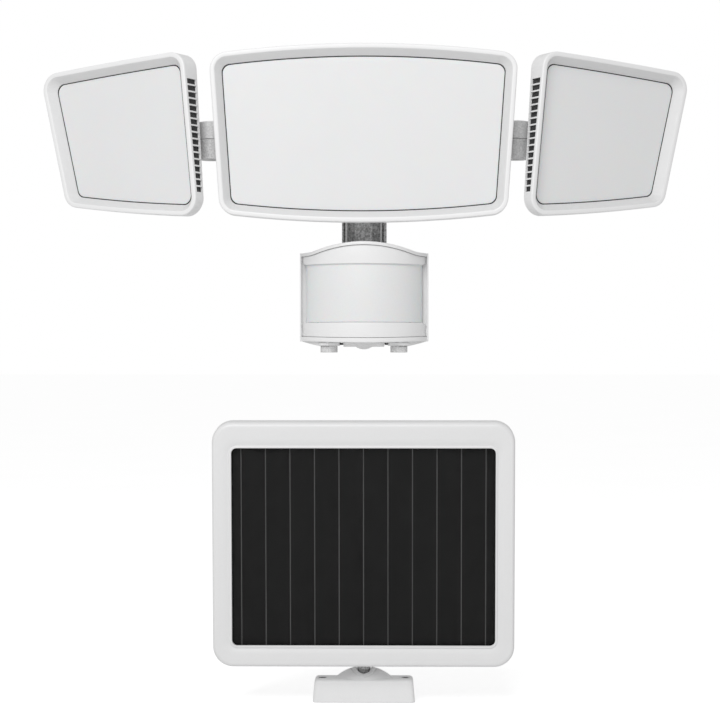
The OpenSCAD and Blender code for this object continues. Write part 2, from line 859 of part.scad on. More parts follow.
// ---------------------------------------------------------------- solar panel
// ring of points on a rounded rectangle, t = 0 at the frame's edge and 1 at the opening
function frame_ring(t, y, grow) =
    let (w = panel_w / 2 + (glass_w - panel_w) / 2 * t + grow,
        h = panel_h / 2 + (glass_h - panel_h) / 2 * t + grow,
        r = max(frame_r + (opening_r - frame_r) * t + grow, 1.5), z = -glass_drop * t,
        c = [[w - r, r - h], [w - r, h - r], [r - w, h - r], [r - w, r - h]])
    [for (i = [0:3], k = [0:9]) let (a = -90 + 90 * i + 10 * k, p = c[i] + r * [cos(a), sin(a)])
        [p[0], y, p[1] + z]];

module panel_frame() {
    color(white) at_panel() skin([
        frame_ring(0, 4.5, 0), frame_ring(0, 2.6, -0.5), frame_ring(0, 1.1, -1.6), frame_ring(0, 0.3, -3.2),
        frame_ring(0, 0, -5), frame_ring(1, 1.5, 3.4), frame_ring(1, 2.1, 1.6), frame_ring(1, 1.9, 0.9),
        frame_ring(1, 2.2, 0.2), frame_ring(1, 2.9, 0), frame_ring(1, 3.4, 0), frame_ring(1, 3.4, 2.2),
        frame_ring(0, 3.2, -4.5), frame_ring(0, 5, -2.2), frame_ring(0, panel_d, -2.2),
        frame_ring(0, panel_d, 0)], true);
}

// glass sheet behind the opening of the frame
module panel_glass() {
    color([0.16, 0.17, 0.18]) at_panel() translate([0, 0, -glass_drop])
        upright(3.5, 2.4) round_rect(glass_w + 8, glass_h + 8, 4);
}

// thin-film strips on the back of the glass, with a scribed gap between strips
module panel_cells() {
    edge = glass_w / 2 + 2;
    n = ceil(edge / cell_pitch);
    color(black) at_panel() translate([0, 0, -glass_drop]) {
        for (i = [-n:n - 1])
            let (x0 = max(i * cell_pitch + 0.3, -edge), x1 = min((i + 1) * cell_pitch - 0.3, edge))
                translate([x0, 6, -glass_h / 2 - 1]) cube([x1 - x0, 0.5, glass_h + 2]);
        translate([-edge, 6.4, -glass_h / 2 - 2]) cube([2 * edge, 0.8, glass_h + 4]);
    }
}

// back cover inside the frame's rim, with the hole of the outlet
module panel_back() {
    color(white) at_panel() difference() {
        union() {
            upright(panel_d - 2.2, 2.1) round_rect(panel_w - 5, panel_h - 5, frame_r - 2.5);
            for (x = [-1, 1]) translate([x * 60 - 1, 7.3, -60]) cube([2, panel_d - 9, 120]);
        }
        translate([45, 0, 20]) y_cylinder(5.2, 0, 20);
    }
}

// socket for the lead on the back of the panel
module panel_inlet() {
    color(black) at_panel() translate([45, 0, 20]) difference() {
        union() {
            y_cylinder(7, panel_d, 3);
            y_cylinder(5, panel_d - 5, 8);
        }
        y_cylinder(socket_r, panel_d - 3.6, 12);
    }
}

// plate on the panel's back, a tapered neck and the ball
module ball_stud() {
    top_z = ball_z + 15;
    plate_y = 78.2;
    color(dark_grey) {
        at_panel() translate([0, 0, -58]) upright(panel_d + 0.05, 3) round_rect(34, 36, 5);
        translate([0, -foot_y - 2.5, 0]) {
            translate([-5.35, -6.6, top_z - 1]) cube([10.7, 10.6, 38]);
        }
        translate([0, -foot_y, ball_z]) {
            sphere(ball_r);
            translate([0, 0, 4.5]) cylinder(r1 = 3.4, r2 = 5.35, h = 8.5);
            translate([0, 0, 12.9]) cylinder(r = 5.35, h = top_z - ball_z - 12.9);
        }
    }
}

// the dome round the ball: long across the foot, short from front to back
module dome() {
    intersection() {
        translate([0, 0, foot_top + dome_h - dome_r]) sphere(dome_r, $fn = 128);
        translate([0, 0, foot_top + dome_h - ridge_r]) x_cylinder(ridge_r, -25, 50);
        translate([-25, -foot_d / 2, foot_top - 3]) cube([50, foot_d, 20]);
    }
}

// crown of the dome, which holds the ball and turns in the foot; the stud leaves it
// through a slot that runs from front to back
module ball_seat() {
    color(white) translate([0, -foot_y, 0]) difference() {
        union() {
            translate([0, 0, ball_z - 8.3]) cylinder(r = seat_r, h = 11.6);
            intersection() {
                dome();
                translate([0, 0, ball_z + 2]) cylinder(r = seat_r, h = 12);
            }
        }
        translate([0, 0, ball_z]) sphere(ball_r + 0.3);
        for (a = [-lean_max:10:lean_max]) translate([0, 0, ball_z]) rotate([a, 0, 0])
            translate([0, 0, 3.5]) cylinder(r1 = 3.5, r2 = 5.83, h = 10);
    }
}

// foot with two screw holes and the dome round the ball
module panel_base() {
    draft = 1.1;
    r = 2.4;
    h = foot_top - foot_bottom;
    color(white) translate([0, -foot_y, 0]) difference() {
        union() {
            rotate([90, 0, 90]) translate([0, 0, -foot_w / 2]) linear_extrude(foot_w) {
                translate([-foot_d / 2, foot_bottom]) square([foot_d, h - r]);
                translate([-foot_d / 2 + r, foot_bottom]) square([foot_d - 2 * r, h]);
                for (s = [-1, 1]) translate([s * (foot_d / 2 - r), foot_top - r]) circle(r);
            }
            dome();
        }
        // drafted ends
        for (s = [-1, 1]) translate([s * foot_w / 2, 0, foot_bottom]) rotate([0, s * -atan(draft / h), 0])
            translate([s > 0 ? 0 : -10, -20, -5]) cube([10, 40, 40]);
        for (s = [-1, 1]) translate([s * foot_sx / 2, 0, foot_bottom - 1])
            cylinder(r = foot_hole_r, h = h + 4);
        translate([0, 0, foot_bottom - 1]) cylinder(r = seat_r + 0.3, h = 30);
    }
}

// disc that closes the foot under the ball
module panel_base_pad() {
    color(black) translate([0, -foot_y, foot_bottom])
        cylinder(r = seat_r + 0.2, h = ball_z - 8.5 - foot_bottom);
}

wall_plate();
base_housing();
base_seal();
battery_cells();
battery_tray();
controller_board();
power_inlet();
sensor_housing();
pir_lens();
sensor_board();
pir_detector();
sensor_controls();
time_knob();
sensitivity_knob();
mode_button();
neck_arm();
neck_bolt();
base_screws();
main_bezel();
main_diffuser();
main_led_board();
main_leds();
main_heat_sink();
main_rear_cover();
main_hinge();
main_screws();
left_bracket();
right_bracket();
left_link();
right_link();
left_pan_pin();
right_pan_pin();
left_tilt_pin();
right_tilt_pin();
left_tilt_mount();
right_tilt_mount();
left_bezel();
right_bezel();
left_diffuser();
right_diffuser();
left_vent_screen();
right_vent_screen();
left_led_board();
right_led_board();
left_leds();
right_leds();
left_heat_sink();
right_heat_sink();
left_rear_cover();
right_rear_cover();
panel_base();
panel_base_pad();
ball_seat();
ball_stud();
panel_frame();
panel_glass();
panel_cells();
panel_back();
panel_inlet();
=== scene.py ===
import json
import math

import bmesh
import bpy
from mathutils import Matrix, Vector


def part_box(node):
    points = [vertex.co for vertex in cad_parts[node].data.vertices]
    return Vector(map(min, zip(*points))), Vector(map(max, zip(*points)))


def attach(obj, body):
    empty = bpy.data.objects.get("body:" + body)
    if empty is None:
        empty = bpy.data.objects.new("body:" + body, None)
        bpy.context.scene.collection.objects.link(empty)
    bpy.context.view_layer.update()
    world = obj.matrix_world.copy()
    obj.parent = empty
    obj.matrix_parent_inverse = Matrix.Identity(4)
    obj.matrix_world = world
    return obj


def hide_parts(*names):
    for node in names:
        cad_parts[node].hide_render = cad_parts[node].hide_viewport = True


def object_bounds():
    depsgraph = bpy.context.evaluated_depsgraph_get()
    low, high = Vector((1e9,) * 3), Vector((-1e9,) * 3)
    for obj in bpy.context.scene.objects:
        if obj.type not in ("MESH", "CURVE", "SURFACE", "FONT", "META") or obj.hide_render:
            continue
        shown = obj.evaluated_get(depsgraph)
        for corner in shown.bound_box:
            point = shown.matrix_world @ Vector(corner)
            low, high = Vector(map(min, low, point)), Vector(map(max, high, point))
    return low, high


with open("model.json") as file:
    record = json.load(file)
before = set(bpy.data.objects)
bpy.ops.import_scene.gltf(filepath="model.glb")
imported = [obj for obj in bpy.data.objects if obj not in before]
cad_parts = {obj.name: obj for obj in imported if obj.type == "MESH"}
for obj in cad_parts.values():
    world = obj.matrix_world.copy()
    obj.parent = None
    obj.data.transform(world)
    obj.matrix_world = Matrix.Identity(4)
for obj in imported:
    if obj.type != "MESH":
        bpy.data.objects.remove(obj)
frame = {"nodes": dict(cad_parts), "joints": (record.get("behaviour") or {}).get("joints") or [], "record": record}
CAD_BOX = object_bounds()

MM = 0.001
JOINTS = {j["name"]: j for j in frame["joints"]}

# Camera: a 100 mm lens almost straight ahead, at the height between the two units, and how brightly
# the floor and the sky shine.
CAMERA_LENS = 100
CAMERA_TURN = math.radians(0.85)
CAMERA_FOOT = (-0.0022, -0.098, -0.0436)
CAMERA_FAR = 1.3
FLOOR_GLOW, SKY_LIGHT = 0.47, 0.56

# Outlines of the heads, in mm: corners from the lower left round to the upper left, the crown
# of each edge that follows a corner, and the corner radius.
MAIN_OUTLINE = {
    "corners": [(-93.5, -53.3), (93.5, -53.3), (101, 53.3), (-101, 53.3)],
    "crowns": [4.6, 0, 5.4, 0],
    "radius": 11.5,
}
SIDE_OUTLINE = {
    "corners": [(-5.86, -54.75), (102, -44.05), (125, 46.45), (5.86, 54.75)],
    "crowns": [0.8, 0, 0.4, 0],
    "radius": 11.5,
}
WEDGE = 0.06
BEZEL_DEPTH = 12
WALL = 1.2
SEAL_OUT, SEAL_IN = 7.3, 7.8
TILT_U = 30
DIFFUSER_AT = BEZEL_DEPTH - 5.6
FLANGE_AT = BEZEL_DEPTH - 4
CAP_AT = BEZEL_DEPTH + 13.5
CAP_IN = 20
RIB_PITCH, RIB_HALF, RIB_RISE = 6, 0.8, 1.2

# Vent slots of the side heads, in mm
VENT_COUNT = 17
VENT_PITCH = 4.45
VENT_HEIGHT = 3.45
VENT_DROP = 0.75
VENT_FROM = 2.35
VENT_TO = 10.6
VENT_TO_SHARE = 0.055 / WEDGE

# Sensor front, in mm
LENS_MID = 40.7
LENS_R = 43.3
BAND_R = LENS_R + 1.5
LIP_R = LENS_R + 2.7
SENSOR_HALF = 42.95
BAND_HALF = 41.5
SENSOR_LOW, SENSOR_HIGH = -32.5, 27.6
UPPER_LIP, LOWER_LIP = 2.2, 3.1
LIP_DEEP = 2.2
GROOVE = 0.3
BAND_BACK = -56.3
SENSOR_BOW = 1.2
WINDOW_LOW, WINDOW_HIGH = -18.8, 19.8
FLANGE_FRONT, FLANGE_BACK = -60, -56
BROW_HALF, BROW_RISE, BROW_BLEND = 35, 6.8, 1.4
BAND_CORNER = 3
LENS_HALF = 38.7
KNOB_X, KNOB_Y = 23.2, -69
PLINTH_H = 2.3
# Place across of the black patches of painted shade under the sensor, in mm
SHADE_PATCH_X = 14.9
WING_OUT, WING_RUN, WING_FALL = 41.6, 18.4, 11.5
LENS_EDGE = 1.2
LENS_LOW, LENS_HIGH = WINDOW_LOW + 0.15, WINDOW_HIGH + 1
# Beads of painted highlight up the neck: (middle across, half width), in mm
NECK_HIGHLIGHT_BEADS = [(-11.95, 0.65), (11.3, 0.5)]

# Solar panel, in mm
PANEL_W, PANEL_H, PANEL_D = 197.4, 161.2, 14
GLASS_W, GLASS_H = 171.8, 129.7
GLASS_DROP = 1.5
FRAME_R, OPENING_R = 13.5, 3.5
CELL_PITCH = 15.96
FILM_FRONT, FILM_GROOVE, FILM_BACK, FILM_MARGIN = 6.0, 6.12, 7.2, 2
PANEL_AT = (0, -98, -164.3)
PANEL_LEAN = math.radians(4)

# Foot of the panel, in mm
FOOT_W, FOOT_D, FOOT_TOP, FOOT_DRAFT, FOOT_EDGE = 67.6, 21.5, -254.5, 1.1, 2.4
FOOT_SX, FOOT_HOLE_R = 55, 3.1
DOME_HALF, DOME_H, RIDGE_HALF = 19, 7.6, 9.5
SEAT_R, BALL_Z, LEAN_MAX = 8.6, -257, 20
SOCKET_R = 6.8
STUD_CONE = [(3.5, 3.5), (5.83, 13.5)]
CROWN_RADII = (8, 7.4, 6.8, 6.2, 5.6, 5, 4.4, 3.8, 3.2, 2.6, 2, 1.4, 0.8, 0.3)


# ------------------------------------------------------------------ materials
def nodes_of(name):
    """A new material, its node tree, and its output node."""
    material = bpy.data.materials.new(name)
    material.use_nodes = True
    tree = material.node_tree
    tree.nodes.clear()
    return material, tree, tree.nodes.new("ShaderNodeOutputMaterial")


def add(tree, kind, props=None, **inputs):
    """A node with its properties and its inputs set; an input takes a value or a socket."""
    node = tree.nodes.new(kind)
    for key, value in (props or {}).items():
        setattr(node, key, value)
    for key, value in inputs.items():
        socket = node.inputs[int(key[1:])] if key[0] == "_" else node.inputs[key.replace("_", " ")]
        if isinstance(value, bpy.types.NodeSocket):
            tree.links.new(value, socket)
        else:
            socket.default_value = value
    return node


def rgba(colour, k=1.0):
    return (colour[0] * k, colour[1] * k, colour[2] * k, 1)


def noise(tree, vector, size_mm, detail=3, rough=0.55):
    """A noise whose grains are about size_mm across."""
    node = add(tree, "ShaderNodeTexNoise", Vector=vector, Scale=1 / (size_mm * MM), Detail=detail,
               Roughness=rough)
    return node.outputs["Fac"]


def remap(tree, value, low, high, to_low, to_high):
    node = add(tree, "ShaderNodeMapRange", Value=value, From_Min=low, From_Max=high,
               To_Min=to_low, To_Max=to_high)
    return node.outputs["Result"]


def blend_colour(tree, share, first, second):
    node = add(tree, "ShaderNodeMix", {"data_type": "RGBA"}, _0=share, _6=first, _7=second)
    return node.outputs[2]


def object_vector(tree):
    return add(tree, "ShaderNodeTexCoord").outputs["Object"]


def moulded(name, colour, rough, grain_mm, height_mm, mottle=0.03, speckle=0.0, subsurface=0.0,
            coat=0.0, metallic=0.0, rough_spread=0.08, specular=0.5):
    """Moulded or painted skin: slow colour drift, fine speckle, and a bumpy grain."""
    material, tree, out = nodes_of(name)
    place = object_vector(tree)
    fine = noise(tree, place, grain_mm, 4)
    broad = noise(tree, place, 45, 2)
    drift = blend_colour(tree, broad, rgba(colour, 1 - mottle), rgba(colour, 1 + mottle))
    share = remap(tree, fine, 0.35, 0.65, 0, 1)
    flecks = blend_colour(tree, share, rgba((1 - speckle,) * 3), rgba((1 + speckle,) * 3))
    base = add(tree, "ShaderNodeMix", {"data_type": "RGBA", "blend_type": "MULTIPLY"}, _0=1.0,
               _6=drift, _7=flecks).outputs[2]
    patchy = noise(tree, place, 9, 3)
    bump = add(tree, "ShaderNodeBump", Strength=1.0, Distance=height_mm * MM, Height=fine)
    shader = add(tree, "ShaderNodeBsdfPrincipled", Base_Color=base, Metallic=metallic,
                 Roughness=remap(tree, patchy, 0.3, 0.7, rough - rough_spread, rough + rough_spread),
                 Normal=bump.outputs["Normal"], Coat_Weight=coat, Coat_Roughness=0.2)
    shader.inputs["Subsurface Weight"].default_value = subsurface
    shader.inputs["Subsurface Scale"].default_value = 0.002
    shader.inputs["Specular IOR Level"].default_value = specular
    tree.links.new(shader.outputs[0], out.inputs[0])
    return material


def brushed(name, colour, rough, along="X"):
    """Brushed or rolled metal, its scratches drawn out along one axis."""
    material, tree, out = nodes_of(name)
    place = object_vector(tree)
    stretch = {"X": (0.03, 1, 1), "Y": (1, 0.03, 1), "Z": (1, 1, 0.03)}[along]
    scaled = add(tree, "ShaderNodeVectorMath", {"operation": "MULTIPLY"}, _0=place, _1=stretch)
    lines = noise(tree, scaled.outputs[0], 0.25, 3, 0.7)
    cloud = noise(tree, place, 6, 3)
    base = blend_colour(tree, lines, rgba(colour, 0.85), rgba(colour, 1.12))
    bump = add(tree, "ShaderNodeBump", Strength=0.6, Distance=0.02 * MM, Height=lines)
    shader = add(tree, "ShaderNodeBsdfPrincipled", Base_Color=base, Metallic=1.0,
                 Roughness=remap(tree, cloud, 0.3, 0.7, rough - 0.07, rough + 0.1),
                 Normal=bump.outputs["Normal"])
    tree.links.new(shader.outputs[0], out.inputs[0])
    return material


def circuit_board(name):
    """Green solder mask with lighter copper tracks under it and tinned pads."""
    material, tree, out = nodes_of(name)
    place = object_vector(tree)
    tracks = add(tree, "ShaderNodeTexBrick", {"offset": 0.37, "squash": 0.6}, Vector=place,
                 Color1=(0, 0, 0, 1), Color2=(0, 0, 0, 1), Mortar=(1, 1, 1, 1), Scale=90,
                 Mortar_Size=0.035, Brick_Width=0.9, Row_Height=0.28)
    cells = add(tree, "ShaderNodeTexVoronoi", Vector=place, Scale=230)
    pads = remap(tree, cells.outputs["Distance"], 0.16, 0.2, 1, 0)
    green = blend_colour(tree, tracks.outputs["Color"], (0.012, 0.10, 0.035, 1), (0.03, 0.22, 0.08, 1))
    base = blend_colour(tree, pads, green, (0.55, 0.56, 0.55, 1))
    shader = add(tree, "ShaderNodeBsdfPrincipled", Base_Color=base, Metallic=pads,
                 Roughness=remap(tree, noise(tree, place, 3), 0.3, 0.7, 0.22, 0.4))
    tree.links.new(shader.outputs[0], out.inputs[0])
    return material


def solar_film(name):
    """Black thin film with fine scribed lines between its strips."""
    material, tree, out = nodes_of(name)
    place = object_vector(tree)
    x = add(tree, "ShaderNodeSeparateXYZ", Vector=place).outputs["X"]
    strips = add(tree, "ShaderNodeMath", {"operation": "MULTIPLY_ADD"}, _0=x,
                 _1=1 / (CELL_PITCH * MM), _2=20.5)
    part = add(tree, "ShaderNodeMath", {"operation": "FRACT"}, _0=strips.outputs[0])
    off = add(tree, "ShaderNodeMath", {"operation": "SUBTRACT"}, _0=part.outputs[0], _1=0.5)
    far = add(tree, "ShaderNodeMath", {"operation": "ABSOLUTE"}, _0=off.outputs[0])
    line = remap(tree, far.outputs[0], 0.016, 0.024, 1, 0)
    cloud = noise(tree, place, 12, 4)
    film = blend_colour(tree, cloud, (0.0062, 0.0062, 0.0062, 1), (0.0095, 0.0095, 0.0095, 1))
    base = blend_colour(tree, line, film, (0.10, 0.10, 0.10, 1))
    shader = add(tree, "ShaderNodeBsdfPrincipled", Base_Color=base,
                 Roughness=remap(tree, noise(tree, place, 2), 0.3, 0.7, 0.35, 0.5))
    shader.inputs["Specular IOR Level"].default_value = 0.2
    tree.links.new(shader.outputs[0], out.inputs[0])
    return material


def solar_glass(name):
    """Clear glass: see-through straight on, with a slightly patchy gloss towards grazing angles."""
    material, tree, out = nodes_of(name)
    place = object_vector(tree)
    rough = remap(tree, noise(tree, place, 20, 4), 0.3, 0.7, 0.12, 0.2)
    gloss = add(tree, "ShaderNodeBsdfGlossy", Color=(1, 1, 1, 1), Roughness=rough)
    clear = add(tree, "ShaderNodeBsdfTransparent", Color=(0.975, 0.975, 0.975, 1))
    edge = add(tree, "ShaderNodeLayerWeight", Blend=0.5)
    share = remap(tree, edge.outputs["Facing"], 0.35, 1, 0, 0.6)
    mix = add(tree, "ShaderNodeMixShader", _0=share, _1=clear.outputs[0], _2=gloss.outputs[0])
    tree.links.new(mix.outputs[0], out.inputs[0])
    return material


WHITE = moulded("white_plastic", (0.83, 0.83, 0.832), 0.36, 0.5, 0.006, mottle=0.012, speckle=0.012)
# A darker copy of the white plastic for the bezel funnels: painted shade, not a different plastic.
FUNNEL_SHADE_WHITE = moulded("white_plastic_painted_funnel_shade", (0.72, 0.72, 0.722), 0.42, 0.5, 0.006, mottle=0.012,
                      speckle=0.012)
# A darker copy of the white plastic for the panel's rim: painted shade for the dimmer light lower down.
PANEL_SHADE_WHITE = moulded("white_plastic_panel_painted_shade", (0.775, 0.775, 0.777), 0.38, 0.5, 0.006, mottle=0.012,
                      speckle=0.012)
DIFFUSER = moulded("milky_diffuser", (0.76, 0.763, 0.766), 0.5, 0.4, 0.006, mottle=0.012,
                   speckle=0.01, subsurface=0.15)
LENS = moulded("sensor_lens", (0.79, 0.793, 0.796), 0.42, 0.8, 0.006, mottle=0.015, speckle=0.012,
               subsurface=0.2)
GREY = moulded("grey_plastic", (0.6, 0.6, 0.6), 0.5, 1.1, 0.05, mottle=0.05, speckle=0.16)
LIGHT_GREY = moulded("light_grey_plastic", (0.66, 0.66, 0.66), 0.5, 1.1, 0.05,
                     mottle=0.05, speckle=0.12)
DARK_GREY = moulded("dark_grey_plastic", (0.47, 0.47, 0.472), 0.5, 1.2, 0.08,
                    mottle=0.06, speckle=0.45)
BLACK = moulded("black_plastic", (0.018, 0.018, 0.019), 0.42, 0.5, 0.01, mottle=0.1, speckle=0.1)
RUBBER = moulded("black_rubber", (0.014, 0.014, 0.014), 0.65, 0.6, 0.02, mottle=0.12, speckle=0.1)
STEEL = brushed("zinc_plated_steel", (0.62, 0.63, 0.64), 0.3)
ALUMINIUM = brushed("pressed_aluminium", (0.78, 0.79, 0.80), 0.34, "Z")
BOARD = circuit_board("circuit_board")
WHITE_BOARD = moulded("white_solder_mask", (0.82, 0.82, 0.80), 0.3, 0.8, 0.004, speckle=0.02)
LED = moulded("yellow_phosphor", (0.85, 0.66, 0.14), 0.35, 0.4, 0.01, speckle=0.06, coat=0.3)
CELL_WRAP = moulded("blue_cell_wrap", (0.04, 0.13, 0.36), 0.3, 3.0, 0.05,
                    mottle=0.08, speckle=0.05, coat=0.4)
FILM = solar_film("thin_film_cells")
GLASS = solar_glass("panel_glass")

SLOT_MATERIALS = {
    "white_plastic": WHITE, "diffuser": DIFFUSER, "sensor_lens": LENS, "grey_plastic": GREY,
    "light_grey_plastic": LIGHT_GREY, "dark_grey": DARK_GREY, "black_plastic": BLACK, "rubber": RUBBER,
    "steel": STEEL, "aluminium": ALUMINIUM, "board": BOARD, "white_board": WHITE_BOARD, "led": LED,
    "cell_wrap": CELL_WRAP, "panel_glass": GLASS, "solar_cell": FILM,
}


# ------------------------------------------------------------------ mesh helpers
def make_piece(name, verts, faces, slot, body, replaces=(), sharp=32):
    """A smooth-shaded mesh object in the shared frame, verts in metres."""
    mesh = bpy.data.meshes.new(name)
    mesh.from_pydata([tuple(v) for v in verts], [], faces)
    work = bmesh.new()
    work.from_mesh(mesh)
    bmesh.ops.remove_doubles(work, verts=work.verts, dist=1e-7)
    bmesh.ops.recalc_face_normals(work, faces=work.faces)
    work.to_mesh(mesh)
    work.free()
    for face in mesh.polygons:
        face.use_smooth = True
    mesh.set_sharp_from_angle(angle=math.radians(sharp))
    mesh.materials.append(SLOT_MATERIALS[slot])
    piece = bpy.data.objects.new(name, mesh)
    bpy.context.scene.collection.objects.link(piece)
    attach(piece, body)
    if replaces:
        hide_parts(*replaces)
    return piece


def skin(rings, looped=True, open_cells=()):
    """Points and faces through equal rings: joined end to end, or capped at both ends.
    open_cells are the (ring, column) cells that stay open."""
    n = len(rings[0])
    verts = [p for r in rings for p in r]
    faces = []
    for i in range(len(rings) if looped else len(rings) - 1):
        a, b = i * n, (i + 1) % len(rings) * n
        faces += [(a + j, a + (j + 1) % n, b + (j + 1) % n, b + j) for j in range(n)
                  if (i, j) not in open_cells]
    if not looped:
        faces += [tuple(range(n)), tuple(reversed(range(len(verts) - n, len(verts))))]
    return verts, faces


def joined(*parts):
    """One list of points and one of faces from several (points, faces) pairs."""
    verts, faces = [], []
    for part_verts, part_faces in parts:
        faces += [tuple(i + len(verts) for i in f) for f in part_faces]
        verts += part_verts
    return verts, faces


def rounded(points, closed=True, steps=4):
    """Points of a profile with its corners rounded; each corner's last number is how far the
    rounding reaches along both of its edges."""
    result = []
    n = len(points)
    for i, corner in enumerate(points):
        p, reach = Vector(corner[:-1]), corner[-1]
        if reach == 0 or (not closed and i in (0, n - 1)):
            result.append(p)
            continue
        before, after = Vector(points[i - 1][:-1]), Vector(points[(i + 1) % n][:-1])
        a = p + (before - p).normalized() * min(reach, (before - p).length * 0.49)
        b = p + (after - p).normalized() * min(reach, (after - p).length * 0.49)
        for k in range(steps + 1):
            s = k / steps
            result.append(a * (1 - s) ** 2 + p * (2 * s * (1 - s)) + b * s * s)
    return result


def placed(part, place):
    """Points moved by a matrix, faces as they are."""
    return [place @ Vector(v) for v in part[0]], part[1]


def lathe(profile, steps=64, looped=False):
    """Points and faces of a profile of (radius, height) turned about Z, in mm."""
    rings = [[Vector((r * math.cos(2 * math.pi * k / steps), r * math.sin(2 * math.pi * k / steps), z))
              for k in range(steps)] for r, z in profile]
    return skin(rings, looped)


def rect_ring(half_w, half_h, radius, corner_steps=8, side_steps=1):
    """Points of a rounded rectangle about the origin, from the lower right corner round."""
    points = []
    corners = [(half_w - radius, radius - half_h, -90), (half_w - radius, half_h - radius, 0),
               (radius - half_w, half_h - radius, 90), (radius - half_w, radius - half_h, 180)]
    for i, (x, y, start) in enumerate(corners):
        turns = [math.radians(start + 90 * k / corner_steps) for k in range(corner_steps + 1)]
        points += [Vector((x + radius * math.cos(a), y + radius * math.sin(a))) for a in turns]
        after_x, after_y, after_start = corners[(i + 1) % 4]
        a = math.radians(after_start)
        last = points[-1]
        after = Vector((after_x + radius * math.cos(a), after_y + radius * math.sin(a)))
        points += [last.lerp(after, k / side_steps) for k in range(1, side_steps)]
    return points


def cross_screw(radius, height):
    """Domed screw head with a cross recess, its top up along Z and its underside at z = 0, in mm."""
    bar, arm, floor = radius * 0.13, radius * 0.55, height * 0.45
    star = [(bar, -arm), (bar, -bar), (arm, -bar), (arm, bar), (bar, bar), (bar, arm), (-bar, arm),
            (-bar, bar), (-arm, bar), (-arm, -bar), (-bar, -bar), (-bar, -arm)]
    order = sorted(star, key=lambda p: math.atan2(p[1], p[0]))
    angles = [math.atan2(y, x) for x, y in order]

    def circle(r, z):
        return [Vector((r * math.cos(a), r * math.sin(a), z)) for a in fine]

    fine = []
    for i, a in enumerate(angles):
        after = angles[(i + 1) % 12] + (2 * math.pi if i == 11 else 0)
        fine += [a + (after - a) * k / 4 for k in range(4)]

    def cross(z):
        return [Vector((*(Vector(order[i]).lerp(Vector(order[(i + 1) % 12]), k / 4)), z))
                for i in range(12) for k in range(4)]

    rings = [circle(radius, 0), circle(radius, height * 0.35), circle(radius * 0.9, height * 0.75),
             circle(radius * 0.72, height), cross(height), cross(height - floor)]
    return skin(rings, looped=False)


def ring_boss(outer, inner, height):
    """Raised ring with rounded lips round a screw, in mm."""
    profile = rounded([(outer + 0.4, -0.6, 0), (outer, height, 0.5), (inner, height, 0.3),
                       (inner - 0.1, -0.6, 0)])
    return lathe([tuple(p) for p in profile], 40, looped=True)


def soften(name, width=0.25, segments=2, angle=32):
    """Rounds the hard edges of a CAD node for its looks; its own points stay as they are."""
    node = frame["nodes"][name]
    weld = node.modifiers.new("weld", "WELD")
    weld.merge_threshold = 1e-6
    flat = node.modifiers.new("flat", "DECIMATE")
    flat.decimate_type = "DISSOLVE"
    flat.angle_limit = math.radians(0.5)
    bevel = node.modifiers.new("edges", "BEVEL")
    bevel.width = width * MM
    bevel.segments = segments
    bevel.limit_method = "ANGLE"
    bevel.angle_limit = math.radians(angle)
    bevel.harden_normals = True
    normals = node.modifiers.new("normals", "WEIGHTED_NORMAL")
    normals.keep_sharp = False


# ------------------------------------------------------------------ heads
def corner_mid(corners, i, q):
    """Middle of the rounding circle that lies q inside both edges of corner i."""
    c = [Vector(p) for p in corners]
    a = (c[(i + 1) % 4] - c[i]).normalized()
    b = (c[i - 1] - c[i]).normalized()
    return c[i] + (a + b) * (q / math.sin(math.acos(a.dot(b))))


def arc(mid, radius, first, last, steps, keep):
    """Points of an arc about mid between two directions; keep picks the steps."""
    a = math.atan2(first.y, first.x)
    turn = (math.atan2(last.y, last.x) - a + 3 * math.pi) % (2 * math.pi) - math.pi
    return [mid + radius * Vector((math.cos(a + turn * k / steps), math.sin(a + turn * k / steps)))
            for k in keep]


def ring(outline, inset, stops=()):
    """Closed ring that lies inset inside the outline. The last edge takes the heights in stops."""
    corners, radius = outline["corners"], max(outline["radius"] - inset, 5.5)
    mids = [corner_mid(corners, i, inset + radius) for i in range(4)]
    full = [corner_mid(corners, i, outline["radius"]) for i in range(4)]
    edges = []
    for i in range(4):
        p, q = mids[i], mids[(i + 1) % 4]
        along = (q - p).normalized()
        outward = Vector((along.y, -along.x))
        crown = outline["crowns"][i] * ((q - p).length / (full[(i + 1) % 4] - full[i]).length) ** 2
        if crown:
            rho = ((q - p).length ** 2 / 4 + crown ** 2) / (2 * crown)
            mid = (p + q) / 2 - outward * (rho - crown)
            edges.append((p - mid, q - mid, mid, rho))
        else:
            edges.append((outward, outward, None, 0))
    points = []
    for i in range(4):
        points += arc(mids[i], radius, edges[i - 1][1], edges[i][0], 12, range(13))
        start, end, mid, rho = edges[i]
        if mid is not None:
            points += arc(mid, rho + radius, start, end, 24, range(1, 24))
        elif i == 3:
            a, b = mids[3] + start * radius, mids[0] + start * radius
            points += [a.lerp(b, (z - a.y) / (b.y - a.y)) for z in stops]
    return points


def head_rings(outline, steps, place, stops=()):
    """Rings in the shared frame from (inset, depth, share of the wedge) in mm."""
    rings = []
    for inset, depth, share in steps:
        flat = ring(outline, inset, stops)
        rings.append([place @ Vector((p.x, depth + share * WEDGE * p.y, p.y)) for p in flat])
    return rings


